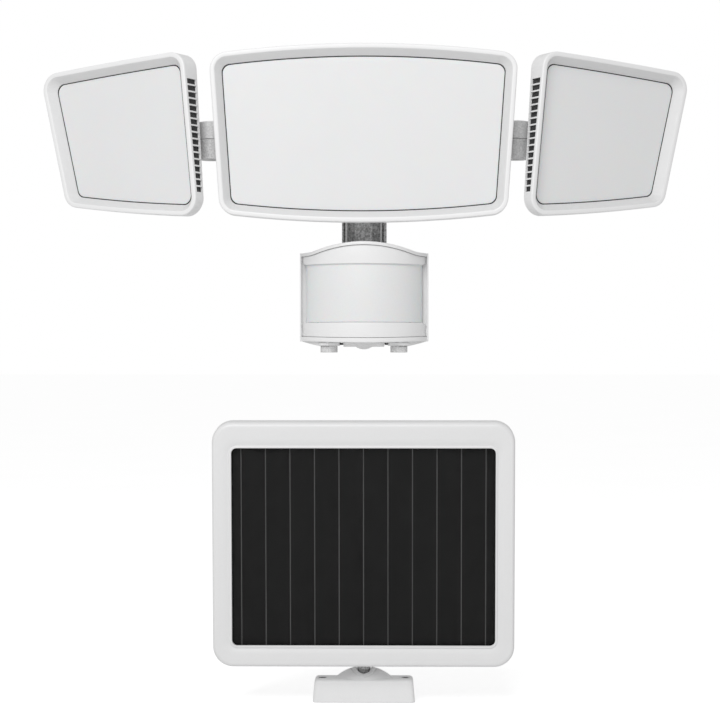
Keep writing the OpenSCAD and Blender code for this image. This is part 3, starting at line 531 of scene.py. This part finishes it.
def head_place(side):
    """Matrix from a head's own frame in mm to the shared frame. side is 0, 1 or -1."""
    scale = Matrix.Scale(MM, 4)
    if side == 0:
        low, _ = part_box("main_bezel")
        return Matrix.Translation((0, low.y, JOINTS["left_pan"]["pos_m"][2])) @ scale
    joint = JOINTS["right_tilt"]
    axis = Vector(joint["axis"])
    back = Vector((-axis.y, axis.x, 0))
    origin = Vector(joint["pos_m"]) - axis * TILT_U * MM - back * (CAP_AT + 7.5) * MM
    turn = Matrix.Rotation(math.atan2(axis.y, axis.x), 4, "Z")
    mirror = Matrix.Scale(-1, 4, (1, 0, 0)) if side < 0 else Matrix.Identity(4)
    return mirror @ Matrix.Translation(origin) @ turn @ scale


def vent_stops():
    """Heights of the top and bottom of each vent slot, from the top down."""
    top = VENT_PITCH * (VENT_COUNT - 1) / 2 - VENT_DROP
    return [top - VENT_PITCH * i + s * VENT_HEIGHT / 2 for i in range(VENT_COUNT) for s in (1, -1)]


# Rings of the bezel profile whose faces take the painted funnel shade
FUNNEL_FIRST, FUNNEL_LAST = 7, 14
BEZEL_PROFILE = [
    (0, 0, 0, 1.1), (3.1, 0, 0, 0.9), (SEAL_OUT, DIFFUSER_AT - 0.2, 0, 0.25),
    (SEAL_OUT, FLANGE_AT - 0.2, 0, 0.2), (5.9, FLANGE_AT - 0.2, 0, 0.3), (3.2, 2.2, 0, 0.3),
    (WALL, 2.2, 0, 0), (WALL, VENT_FROM, 0, 0), (WALL, VENT_TO, VENT_TO_SHARE, 0),
    (WALL, BEZEL_DEPTH, 1, 0.1), (0, BEZEL_DEPTH, 1, 0.35), (0, VENT_TO, VENT_TO_SHARE, 0),
    (0, VENT_FROM, 0, 0),
]
DIFFUSER_PROFILE = [
    (5.7, FLANGE_AT + 1.4, 0, 0), (5.7, FLANGE_AT, 0, 0), (SEAL_IN, FLANGE_AT, 0, 0.2),
    (SEAL_IN, DIFFUSER_AT, 0, 0.5), (SEAL_IN + 3, DIFFUSER_AT - 0.05, 0, 0),
]
SEAL_AND_GAP_SHADE_PROFILE = [
    (SEAL_OUT - 0.3, FLANGE_AT - 0.1, 0, 0), (SEAL_IN + 0.3, FLANGE_AT - 0.1, 0, 0),
    (SEAL_IN + 0.1, DIFFUSER_AT + 0.08, 0, 0.1), (SEAL_OUT - 0.1, DIFFUSER_AT + 0.08, 0, 0.1),
]
COVER_PROFILE = [
    (CAP_IN + 1, CAP_AT - 2, 0, 0), (9.8, BEZEL_DEPTH + 7, 0.2, 1), (5.6, BEZEL_DEPTH + 4.6, 0.9, 1),
    (3.8, BEZEL_DEPTH + 1.9, 1, 0.4), (3, BEZEL_DEPTH + 0.1, 1, 0), (0.7, BEZEL_DEPTH + 0.1, 1, 0.3),
    (1.9, BEZEL_DEPTH + 2.6, 1, 1), (4, BEZEL_DEPTH + 5.4, 0.9, 1.4), (8.4, BEZEL_DEPTH + 8.5, 0.2, 2.5),
    (CAP_IN - 1.5, CAP_AT - 0.15, 0, 2.5), (CAP_IN + 2.5, CAP_AT, 0, 0),
]


def head_name(side):
    return {0: "main", 1: "right", -1: "left"}[side]


def bezel(side):
    """Thin bezel: flat lip, sloped funnel and side wall, with the vent slots on a side head. The funnel's faces
    take a darker copy of the white plastic, as painted shade.
    """
    stops = vent_stops() if side else ()
    steps = rounded(BEZEL_PROFILE)
    rings = head_rings(SIDE_OUTLINE if side else MAIN_OUTLINE, steps, head_place(side), stops)
    n = len(rings[0])

    def at(inset, depth):
        return next(i for i, s in enumerate(steps)
                    if abs(s[0] - inset) < 1e-6 and abs(s[1] - depth) < 1e-6)

    inner, outer = at(WALL, VENT_FROM), at(0, VENT_TO)
    slots = [n - len(stops) + 2 * k for k in range(len(stops) // 2)]
    cells = {(i, j) for i in (inner, outer) for j in slots}
    verts, faces = skin(rings, open_cells=cells)
    for j in slots:
        o = [(outer + 1) * n + j, (outer + 1) * n + j + 1, outer * n + j + 1, outer * n + j]
        i = [inner * n + j, inner * n + j + 1, (inner + 1) * n + j + 1, (inner + 1) * n + j]
        faces += [(o[m], o[(m + 1) % 4], i[(m + 1) % 4], i[m]) for m in range(4)]
    name = head_name(side)
    piece = make_piece(name + "_bezel_skin", verts, faces, "white_plastic", name + "_head",
                       [name + "_bezel"])
    # The funnel faces take the darker copy of the white plastic: painted shade on the funnels.
    piece.data.materials.append(FUNNEL_SHADE_WHITE)
    for k in range(FUNNEL_FIRST * n, FUNNEL_LAST * n):
        piece.data.polygons[k].material_index = 1


def face_parts(side):
    """Diffuser with its black rubber seal, which is also painted shade in the gap round the diffuser, and the rear
    cover.
    """
    name, outline, place = head_name(side), SIDE_OUTLINE if side else MAIN_OUTLINE, head_place(side)
    body = name + "_head"
    rings = head_rings(outline, rounded(DIFFUSER_PROFILE, closed=False), place)
    make_piece(name + "_diffuser_pane", *skin(rings, looped=False), "diffuser", body,
               [name + "_diffuser"])
    # Black rubber seal in the gap: partly a real seal, partly painted shade that darkens the gap line.
    rings = head_rings(outline, rounded(SEAL_AND_GAP_SHADE_PROFILE), place)
    make_piece(name + "_face_seal_and_gap_shade", *skin(rings), "rubber", body)
    rings = head_rings(outline, rounded(COVER_PROFILE, closed=False), place)
    make_piece(name + "_cover_shell", *skin(rings, looped=False), "white_plastic", body,
               [name + "_rear_cover"])


def rib(x0, x1, z, half_h, top):
    """Low rounded rib across the back of a head, in the head's own frame in mm."""
    length = (x1 - x0) / 2
    rings = []
    for grow, y in [(0.5, CAP_AT - 0.4), (0.25, CAP_AT + 0.1), (0, top - 0.35), (-0.12, top - 0.1),
                    (-0.35, top)]:
        flat = rect_ring(length + grow, half_h + grow, half_h + grow - 0.02, 6)
        rings.append([Vector((p.x + (x0 + x1) / 2, y, p.y + z)) for p in flat])
    return skin(rings, looped=False)


def back_details(side):
    """Cooling ribs, and screws in raised rings, on the back of a head."""
    name, place = head_name(side), head_place(side)
    body = name + "_head"
    upright = Matrix.Rotation(math.radians(-90), 4, "X")
    top = CAP_AT + RIB_RISE
    if side:
        ribs = [rib(56, 92, -24 + RIB_PITCH * k, RIB_HALF, top) for k in range(9)]
        spots = [(27, -27), (27, 27), (90, -32.5), (101, 22)]
    else:
        ribs = [rib(s * 45 - 14, s * 45 + 14, low + RIB_PITCH * k, RIB_HALF, top)
                for low, count in ((6, 5), (-30, 3)) for k in range(count) for s in (-1, 1)]
        spots = [(s * x, z) for s in (-1, 1) for x, z in ((72, 25), (66, -28))]
    make_piece(name + "_cooling_ribs", *placed(joined(*ribs), place), "white_plastic", body)
    rings, heads = [], []
    for x, z in spots:
        spot = place @ Matrix.Translation((x, CAP_AT, z)) @ upright
        rings.append(placed(ring_boss(4.6, 3.3, 1.3), spot))
        heads.append(placed(cross_screw(3.0, 1.1), spot))
    make_piece(name + "_cover_bosses", *joined(*rings), "white_plastic", body)
    make_piece(name + "_cover_screws", *joined(*heads), "steel", body)


# ------------------------------------------------------------------ sensor
def front_y(radius, x):
    """Depth of the sensor's round front, of that radius, at x, in mm."""
    return -LENS_MID - math.sqrt(max(radius * radius - x * x, 0))


def brow_top(x):
    """Height of the brow's top edge: flat ends that run smoothly into an arch, in mm."""
    rho = (BROW_HALF ** 2 + BROW_RISE ** 2) / (2 * BROW_RISE)
    rise = BROW_RISE - rho + math.sqrt(rho * rho - x * x)
    return SENSOR_HIGH + (rise + math.sqrt(rise * rise + BROW_BLEND)) / 2


def sensor_bottom(x):
    """Height of the sensor's lower edge, bowed down at its middle, in mm."""
    return SENSOR_LOW + 0.3 + SENSOR_BOW * (x / SENSOR_HALF) ** 2


def band_corner(x):
    """How far a band's edge beside the lens turns away at its ends, in mm."""
    past = min(max(abs(x) - (BAND_HALF - BAND_CORNER), 0), BAND_CORNER)
    return BAND_CORNER - math.sqrt(BAND_CORNER ** 2 - past ** 2)


def columns_over(half, count):
    """Places across the sensor, closer together towards both ends."""
    return [half * math.sin(math.pi / 2 * (2 * k / count - 1)) for k in range(count + 1)]


def sensor_front():
    """Bands above and below the lens, with their lips, the flange, the bosses and the plinth."""
    upper, lower = [], []
    for x in columns_over(SENSOR_HALF, 150):
        inner = min(front_y(BAND_R - LIP_DEEP, x), BAND_BACK - 0.6)
        band, lip = (min(front_y(r, x), BAND_BACK - 1.4) for r in (BAND_R, LIP_R))
        low, top = WINDOW_HIGH + band_corner(x), brow_top(x)
        rows = rounded([(inner, low, 0), (band, low, 0.6), (band, top - UPPER_LIP - GROOVE, 0.1),
                        (inner, top - UPPER_LIP - GROOVE, 0), (inner, top - UPPER_LIP, 0),
                        (lip, top - UPPER_LIP, 0.3), (lip, top, 0.9), (BAND_BACK, top, 0),
                        (BAND_BACK, low, 0)])
        upper.append([Vector((x, p.x, p.y)) * MM for p in rows])
        high, low = WINDOW_LOW - band_corner(x), sensor_bottom(x)
        rows = rounded([(inner, high, 0), (band, high, 0.6), (band, low + LOWER_LIP + GROOVE, 0.1),
                        (inner, low + LOWER_LIP + GROOVE, 0), (inner, low + LOWER_LIP, 0),
                        (lip, low + LOWER_LIP, 0.3), (lip, low, 0.8), (BAND_BACK, low, 0),
                        (BAND_BACK, high, 0)])
        lower.append([Vector((x, p.x, p.y)) * MM for p in rows])
    flange = []
    for inset, y in [(3, FLANGE_BACK), (0, FLANGE_BACK), (0, FLANGE_FRONT + 0.7),
                     (0.1, FLANGE_FRONT + 0.3), (0.35, FLANGE_FRONT), (0.8, FLANGE_FRONT),
                     (1.0, FLANGE_FRONT + 0.3), (1.0, FLANGE_FRONT + 3.4)]:
        half = SENSOR_HALF - inset
        across = columns_over(half, 60)
        outline = [(x, sensor_bottom(x) + inset) for x in across]
        outline += [(x, brow_top(x) - inset) for x in reversed(across)]
        flange.append([Vector((x, y, z)) * MM for x, z in outline])
    parts = [skin(upper, looped=False), skin(lower, looped=False), skin(flange, looped=False)]
    scale = Matrix.Scale(MM, 4)
    boss = [(7.7, SENSOR_LOW + 0.4), (7.6, SENSOR_LOW - 0.6), (7.4, SENSOR_LOW - 1.4),
            (7.1, SENSOR_LOW - 1.65), (6.8, SENSOR_LOW - 1.7), (2.9, SENSOR_LOW - 1.7)]
    for s in (-1, 1):
        parts.append(placed(lathe(boss), scale @ Matrix.Translation((s * KNOB_X, KNOB_Y, 0))))
        wing = []
        for k in range(25):
            x = s * (WING_OUT - WING_RUN * k / 24)
            fall = min((WING_OUT - abs(x)) / WING_FALL, 1)
            high = sensor_bottom(x) + 0.5
            low = sensor_bottom(x) - 0.1 + (SENSOR_LOW - 1.6 - sensor_bottom(x)) * fall
            near = max(front_y(BAND_R - 1.5, x), KNOB_Y - 7.6)
            rows = rounded([(-58, high, 0), (min(near, -58.5), high, 0),
                            (min(near, -58.5), low, 0.5), (-58, low, 0)])
            wing.append([Vector((x, p.x, p.y)) * MM for p in rows])
        parts.append(skin(wing, looped=False))
    rings = []
    for grow, z in [(0.5, 0.3), (0.15, 0), (0, -0.4), (0, 0.5 - PLINTH_H), (-0.15, 0.15 - PLINTH_H),
                    (-0.5, -PLINTH_H)]:
        rings.append([Vector((p.x, p.y + KNOB_Y, z + SENSOR_LOW)) * MM
                      for p in rect_ring(13.6 + grow, 8 + grow, 4 + grow)])
    parts.append(skin(rings, looped=False))
    make_piece("sensor_front", *joined(*parts), "white_plastic", "base", ["sensor_housing"])
    # Black rubber patches either side of the plinth: painted shade standing in for the shadowed recesses there.
    shade_patches = []
    for s in (-1, 1):
        rings = []
        for grow, z in [(0, 0.2), (0, -0.8), (-0.25, -1.05)]:
            rings.append([Vector((p.x + s * SHADE_PATCH_X, p.y + KNOB_Y + 1, z + SENSOR_LOW)) * MM
                          for p in rect_ring(1.15 + grow, 3.6 + grow, 0.6 + grow)])
        shade_patches.append(skin(rings, looped=False))
    make_piece("sensor_shade_patches", *joined(*shade_patches), "rubber", "base")


def sensor_lens():
    """Milky lens with soft rims, bowed round the detector."""
    columns = []
    for x in columns_over(LENS_HALF, 120):
        past = max(abs(x) - (LENS_HALF - LENS_EDGE), 0) / LENS_EDGE
        edge = LENS_EDGE * (1 - math.sqrt(max(1 - past * past, 0)))
        front = min(front_y(LENS_R, x) + edge, FLANGE_FRONT + 0.3)
        back = max(front + 1.2, -66) if abs(x) < 30 else front + 1.2
        rows = rounded([(front, LENS_LOW, 0.3), (front, LENS_HIGH, 0.3), (back, LENS_HIGH, 0),
                        (back, LENS_LOW, 0)])
        columns.append([Vector((x, p.x, p.y)) * MM for p in rows])
    make_piece("sensor_lens_shell", *skin(columns, looped=False), "sensor_lens", "base", ["pir_lens"])


def neck_highlight_ridges():
    """Two raised beads up the front of the neck, in light grey: painted highlights along the edges of the neck's
    ribs.
    """
    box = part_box("neck_arm")
    face = box[0].y / MM
    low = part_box("base_housing")[1].z / MM + 3.2
    high = JOINTS["head_tilt"]["pos_m"][2] / MM - 11.7
    parts = []
    for middle, half in NECK_HIGHLIGHT_BEADS:
        rings = []
        for z in (low, high):
            rows = rounded([(middle - half, face + 0.5, 0), (middle - half, face - 0.25, 0.3),
                            (middle + half, face - 0.25, 0.3), (middle + half, face + 0.5, 0)])
            rings.append([Vector((p.x, p.y, z)) * MM for p in rows])
        parts.append(skin(rings, looped=False))
    # Light grey beads on the dark grey neck: painted highlights on the rib edges.
    make_piece("neck_highlight_ridges", *joined(*parts), "light_grey_plastic", "base")


# ------------------------------------------------------------------ solar panel
def panel_place():
    return (Matrix.Translation(Vector(PANEL_AT) * MM) @ Matrix.Rotation(PANEL_LEAN, 4, "X")
            @ Matrix.Scale(MM, 4))


def frame_ring(t, y, grow):
    """Rounded rectangle at share t of the way from the frame's edge to the opening."""
    half_w = PANEL_W / 2 + (GLASS_W - PANEL_W) / 2 * t + grow
    half_h = PANEL_H / 2 + (GLASS_H - PANEL_H) / 2 * t + grow
    radius = max(FRAME_R + (OPENING_R - FRAME_R) * t + grow, 0.8)
    return [Vector((p.x, y, p.y - GLASS_DROP * t)) for p in rect_ring(half_w, half_h, radius, 14)]


FRAME_REACH = 14
FRAME_PROFILE = [
    (0, PANEL_D, 0, 0.5), (0, 0, -0.2, 4.6), (FRAME_REACH, 1.1, 4.6, 2.0), (FRAME_REACH, 2.1, 1.6, 0.4),
    (FRAME_REACH, 1.35, 1.15, 0.3), (FRAME_REACH, 1.35, 0.1, 0.4), (FRAME_REACH, 3.4, 0, 0),
    (FRAME_REACH, 3.4, 2.2, 0), (0, 3.2, -4.5, 0), (0, 5, -2.2, 0), (0, PANEL_D, -2.2, 0.3),
]


def panel_parts():
    place = panel_place()
    steps = rounded(FRAME_PROFILE, steps=7)
    rings = [[place @ p for p in frame_ring(s[0] / FRAME_REACH, s[1], s[2])] for s in steps]
    rim = make_piece("panel_rim", *skin(rings), "white_plastic", "panel", ["panel_frame"])
    # The rim takes the darker copy of the white plastic: painted shade.
    rim.data.materials[0] = PANEL_SHADE_WHITE
    # film behind the glass, with a shallow groove at each scribed line
    half_w, half_h = GLASS_W / 2 + FILM_MARGIN, GLASS_H / 2 + FILM_MARGIN
    xs = [-half_w]
    for k in range(-5, 6):
        xs += [k * CELL_PITCH + d for d in (-0.35, -0.2, 0.2, 0.35)]
    xs.append(half_w)
    depths = [FILM_FRONT] + [FILM_FRONT, FILM_GROOVE, FILM_GROOVE, FILM_FRONT] * 11 + [FILM_FRONT]
    columns = [[Vector((x, y, -half_h - GLASS_DROP)), Vector((x, y, half_h - GLASS_DROP)),
                Vector((x, FILM_BACK, half_h - GLASS_DROP)), Vector((x, FILM_BACK, -half_h - GLASS_DROP))]
               for x, y in zip(xs, depths)]
    make_piece("solar_film", *placed(skin(columns, looped=False), place), "solar_cell", "panel",
               ["panel_cells"], sharp=20)
    # screws round the back cover
    upright = Matrix.Rotation(math.radians(-90), 4, "X")
    rings, heads = [], []
    for x, z in [(s * 84, t * 66) for s in (-1, 1) for t in (-1, 1)] + [(-84, 0), (84, 0), (0, 66)]:
        spot = place @ Matrix.Translation((x, PANEL_D - 0.1, z)) @ upright
        rings.append(placed(ring_boss(4.4, 3.2, 0.9), spot))
        heads.append(placed(cross_screw(2.9, 0.8), spot))
    make_piece("panel_back_bosses", *joined(*rings), "white_plastic", "panel")
    make_piece("panel_back_screws", *joined(*heads), "steel", "panel")


def foot_height(x, y, inset=FOOT_EDGE):
    """Height of the foot's top face, in mm: a flat top that runs smoothly into the dome, a shallow
    dent in the dome's front, and the rounding along the edges. inset is how far in the point is."""
    rho = (DOME_HALF ** 2 + DOME_H ** 2) / (2 * DOME_H)
    far = x * x + (y * DOME_HALF / RIDGE_HALF) ** 2
    dome = DOME_H - rho + math.sqrt(rho * rho - far) if far < rho * rho else -20
    top = (dome + math.sqrt(dome * dome + 0.3)) / 2
    half = 5.2 * (1 + y / 11)
    if y < 0 and half > abs(x):
        top -= 0.34 * (half - abs(x)) * min(half / 2, 1)
    near = max(FOOT_EDGE - inset, 0)
    return FOOT_TOP + top - (FOOT_EDGE - math.sqrt(FOOT_EDGE ** 2 - near ** 2))


def hull_of(points):
    """Points and faces of the convex hull of points."""
    work = bmesh.new()
    for point in points:
        work.verts.new(point)
    made = bmesh.ops.convex_hull(work, input=work.verts)
    spare = {v for v in made["geom_interior"] + made["geom_unused"]
             if isinstance(v, bmesh.types.BMVert)}
    bmesh.ops.delete(work, geom=list(spare), context="VERTS")
    work.verts.index_update()
    part = [v.co.copy() for v in work.verts], [tuple(v.index for v in f.verts) for f in work.faces]
    work.free()
    return part


def cut_out(piece, cutters):
    """Takes closed (points, faces) shapes in metres out of a piece."""
    for part in cutters:
        mesh = bpy.data.meshes.new("cutter")
        mesh.from_pydata([tuple(v) for v in part[0]], [], part[1])
        work = bmesh.new()
        work.from_mesh(mesh)
        bmesh.ops.recalc_face_normals(work, faces=work.faces)
        work.to_mesh(mesh)
        work.free()
        cutter = bpy.data.objects.new("cutter", mesh)
        bpy.context.scene.collection.objects.link(cutter)
        cut = piece.modifiers.new("cut", "BOOLEAN")
        cut.operation = "DIFFERENCE"
        cut.solver = "EXACT"
        cut.object = cutter
        bpy.context.view_layer.objects.active = piece
        bpy.ops.object.modifier_apply(modifier="cut")
        bpy.data.objects.remove(cutter)
    piece.data.set_sharp_from_angle(angle=math.radians(30))


def foot():
    """Foot with drafted sides and rounded edges, its two screw holes, and the hole of the crown. Black rubber
    sleeves in the screw holes are painted shade.
    """
    place = Matrix.Scale(MM, 4) @ Matrix.Translation((0, JOINTS["panel_swivel"]["pos_m"][1] / MM, 0))
    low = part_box("panel_base")[0].z / MM
    half_w, half_d, radius = FOOT_W / 2 - FOOT_DRAFT, FOOT_D / 2, 3
    ends = [0, 0.1, 0.25, 0.45, 0.7, 1.0, 1.4, 1.9, 2.4, 3.0, 3.8, 4.8]
    inner = half_w - 5.6
    across = [-half_w + e for e in ends] + [-inner + inner * k / 42 for k in range(85)]
    across += [half_w - e for e in reversed(ends)]
    columns = []
    for x in across:
        past = max(abs(x) - (half_w - radius), 0)
        depth = half_d - radius + math.sqrt(radius * radius - past * past)
        wide = x * FOOT_W / 2 / half_w
        column = [Vector((wide, depth - 0.4, low)), Vector((wide, 0.4 - depth, low)),
                  Vector((wide, -depth, low + 0.4))]
        for k in range(49):
            y = depth * math.sin(math.pi / 2 * (k / 24 - 1))
            out_x, out_y = abs(x) - (half_w - radius), abs(y) - (half_d - radius)
            inset = radius - math.hypot(max(out_x, 0), max(out_y, 0)) - min(max(out_x, out_y), 0)
            column.append(Vector((x, y, foot_height(x, y, max(inset, 0)))))
        column.append(Vector((wide, depth, low + 0.4)))
        columns.append(column)
    piece = make_piece("panel_foot", *placed(skin(columns, looped=False), place), "white_plastic", "base",
                       ["panel_base"])
    hole = lathe([(FOOT_HOLE_R, low - 2), (FOOT_HOLE_R, FOOT_TOP - 0.5),
                  (FOOT_HOLE_R + 0.4, FOOT_TOP + 0.02), (FOOT_HOLE_R + 0.5, FOOT_TOP + 4)], 48)
    bore = lathe([(SEAT_R + 0.3, low - 2), (SEAT_R + 0.3, FOOT_TOP + 20)], 96)
    at_holes = [place @ Matrix.Translation((s * FOOT_SX / 2, 0, 0)) for s in (-1, 1)]
    cut_out(piece, [placed(hole, spot) for spot in at_holes] + [placed(bore, place)])
    # Black rubber sleeves inside the screw holes: painted shade for the shadow in the holes.
    outer, inside, under, over = FOOT_HOLE_R - 0.02, FOOT_HOLE_R - 0.4, low + 0.3, FOOT_TOP - 0.55
    profile = rounded([(outer, under, 0), (outer, over, 0.1), (inside, over, 0.15), (inside, under, 0)])
    shade_sleeve = lathe([tuple(p) for p in profile], 48, looped=True)
    make_piece("foot_hole_shade_sleeves", *joined(*[placed(shade_sleeve, spot) for spot in at_holes]), "rubber",
               "base")


def crown():
    """Crown of the dome: it holds the ball, turns in the foot, and lets the stud lean in a groove."""
    place = Matrix.Scale(MM, 4) @ Matrix.Translation((0, JOINTS["panel_swivel"]["pos_m"][1] / MM, 0))
    steps = 96
    rings = []
    for radius, z in [(SEAT_R - 0.4, BALL_Z - 8.3), (SEAT_R, BALL_Z - 7.9)]:
        rings.append([(radius, 2 * math.pi * k / steps, z) for k in range(steps)])
    falls = [(SEAT_R, 0.25), (SEAT_R - 0.08, 0.1), (SEAT_R - 0.25, 0)] + [(r, 0) for r in CROWN_RADII]
    for radius, fall in falls:
        turns = [2 * math.pi * k / steps for k in range(steps)]
        rings.append([(radius, a, foot_height(radius * math.cos(a), radius * math.sin(a)) - fall)
                      for a in turns])
    rings = [[Vector((r * math.cos(a), r * math.sin(a), z)) for r, a, z in ringed] for ringed in rings]
    piece = make_piece("foot_crown", *placed(skin(rings, looped=False), place), "white_plastic", "seat",
                       ["ball_seat"])
    profile = [(SOCKET_R * math.sin(math.pi * k / 24), -SOCKET_R * math.cos(math.pi * k / 24))
               for k in range(25)]
    profile[0], profile[-1] = (0.01, -SOCKET_R), (0.01, SOCKET_R)
    centre = place @ Matrix.Translation((0, 0, BALL_Z))
    cone = lathe(STUD_CONE, 64)
    turned = [placed(cone, centre @ Matrix.Rotation(math.radians(a), 4, "X"))
              for a in range(-LEAN_MAX, LEAN_MAX + 1, 5)]
    groove = hull_of([v for part in turned for v in part[0]])
    cut_out(piece, [placed(lathe(profile, 48), centre), groove])


# ------------------------------------------------------------------ build
for node in frame["record"]["subparts"]:
    cad = frame["nodes"][node["node"]]
    for material_slot in cad.material_slots:
        material_slot.material = SLOT_MATERIALS[node["material_slot"]]

for side in (0, 1, -1):
    bezel(side)
    face_parts(side)
    back_details(side)
sensor_front()
sensor_lens()
panel_parts()
foot()
crown()
neck_highlight_ridges()

SOFTENED = {
    "base_housing": 0.9, "wall_plate": 0.3, "power_inlet": 0.3, "neck_arm": 0.3, "main_hinge": 0.5,
    "left_bracket": 0.35, "right_bracket": 0.35, "left_link": 0.35, "right_link": 0.35,
    "left_pan_pin": 0.25, "right_pan_pin": 0.25, "left_tilt_mount": 0.4, "right_tilt_mount": 0.4,
    "left_tilt_pin": 0.2, "right_tilt_pin": 0.2, "neck_bolt": 0.3, "base_screws": 0.12,
    "main_screws": 0.12, "time_knob": 0.3, "sensitivity_knob": 0.3, "mode_button": 0.25,
    "panel_back": 0.6, "panel_inlet": 0.3, "ball_stud": 0.4, "panel_glass": 0.3,
}
for name, width in SOFTENED.items():
    soften(name, width)

# ------------------------------------------------------------------ floor, light and camera
floor_mat, tree, out = nodes_of("pale_floor")
place = object_vector(tree)
tone = blend_colour(tree, noise(tree, place, 300, 2), (0.90, 0.90, 0.90, 1), (0.93, 0.93, 0.93, 1))
shader = add(tree, "ShaderNodeBsdfPrincipled", Base_Color=tone,
             Roughness=remap(tree, noise(tree, place, 40, 3), 0.3, 0.7, 0.85, 0.95))
shader.inputs["Specular IOR Level"].default_value = 0.0
lift = add(tree, "ShaderNodeLightPath").outputs["Is Camera Ray"]
glow = add(tree, "ShaderNodeMath", {"operation": "MULTIPLY"}, _0=lift, _1=FLOOR_GLOW)
shader.inputs["Emission Color"].default_value = (1, 1, 1, 1)
tree.links.new(glow.outputs[0], shader.inputs["Emission Strength"])
tree.links.new(shader.outputs[0], out.inputs[0])
bpy.ops.mesh.primitive_plane_add(size=60, location=(0, 0, CAD_BOX[0].z))
floor = bpy.context.object
floor.name = "floor"
floor.data.materials.append(floor_mat)

world = bpy.data.worlds.new("studio")
bpy.context.scene.world = world
world.use_nodes = True
tree = world.node_tree
tree.nodes.clear()
seen = add(tree, "ShaderNodeLightPath").outputs["Is Camera Ray"]
soft = add(tree, "ShaderNodeBackground", Color=(1, 1, 1, 1), Strength=SKY_LIGHT)
plain = add(tree, "ShaderNodeBackground", Color=(1, 1, 1, 1), Strength=1.0)
mix = add(tree, "ShaderNodeMixShader", _0=seen, _1=soft.outputs[0], _2=plain.outputs[0])
tree.links.new(mix.outputs[0], tree.nodes.new("ShaderNodeOutputWorld").inputs[0])


def soft_box(name, at, towards, size, power):
    light = bpy.data.lights.new(name, "AREA")
    light.shape = "SQUARE"
    light.size = size
    light.energy = power
    lamp = bpy.data.objects.new(name, light)
    lamp.location = at
    lamp.rotation_euler = (Vector(towards) - Vector(at)).to_track_quat("-Z", "Y").to_euler()
    bpy.context.scene.collection.objects.link(lamp)


soft_box("key", (-0.26, -1.25, 0.75), (0, -0.1, 0.05), 0.8, 9.6)

camera_data = bpy.data.cameras.new("camera")
camera_data.lens = CAMERA_LENS
camera_data.sensor_width = 36
camera = bpy.data.objects.new("camera", camera_data)
backward = Vector((math.sin(CAMERA_TURN), -math.cos(CAMERA_TURN), 0))
camera.location = Vector(CAMERA_FOOT) + CAMERA_FAR * backward
camera.rotation_euler = (math.radians(90), 0, CAMERA_TURN)
bpy.context.scene.collection.objects.link(camera)
bpy.context.scene.camera = camera
bpy.context.scene.view_settings.view_transform = "Standard"
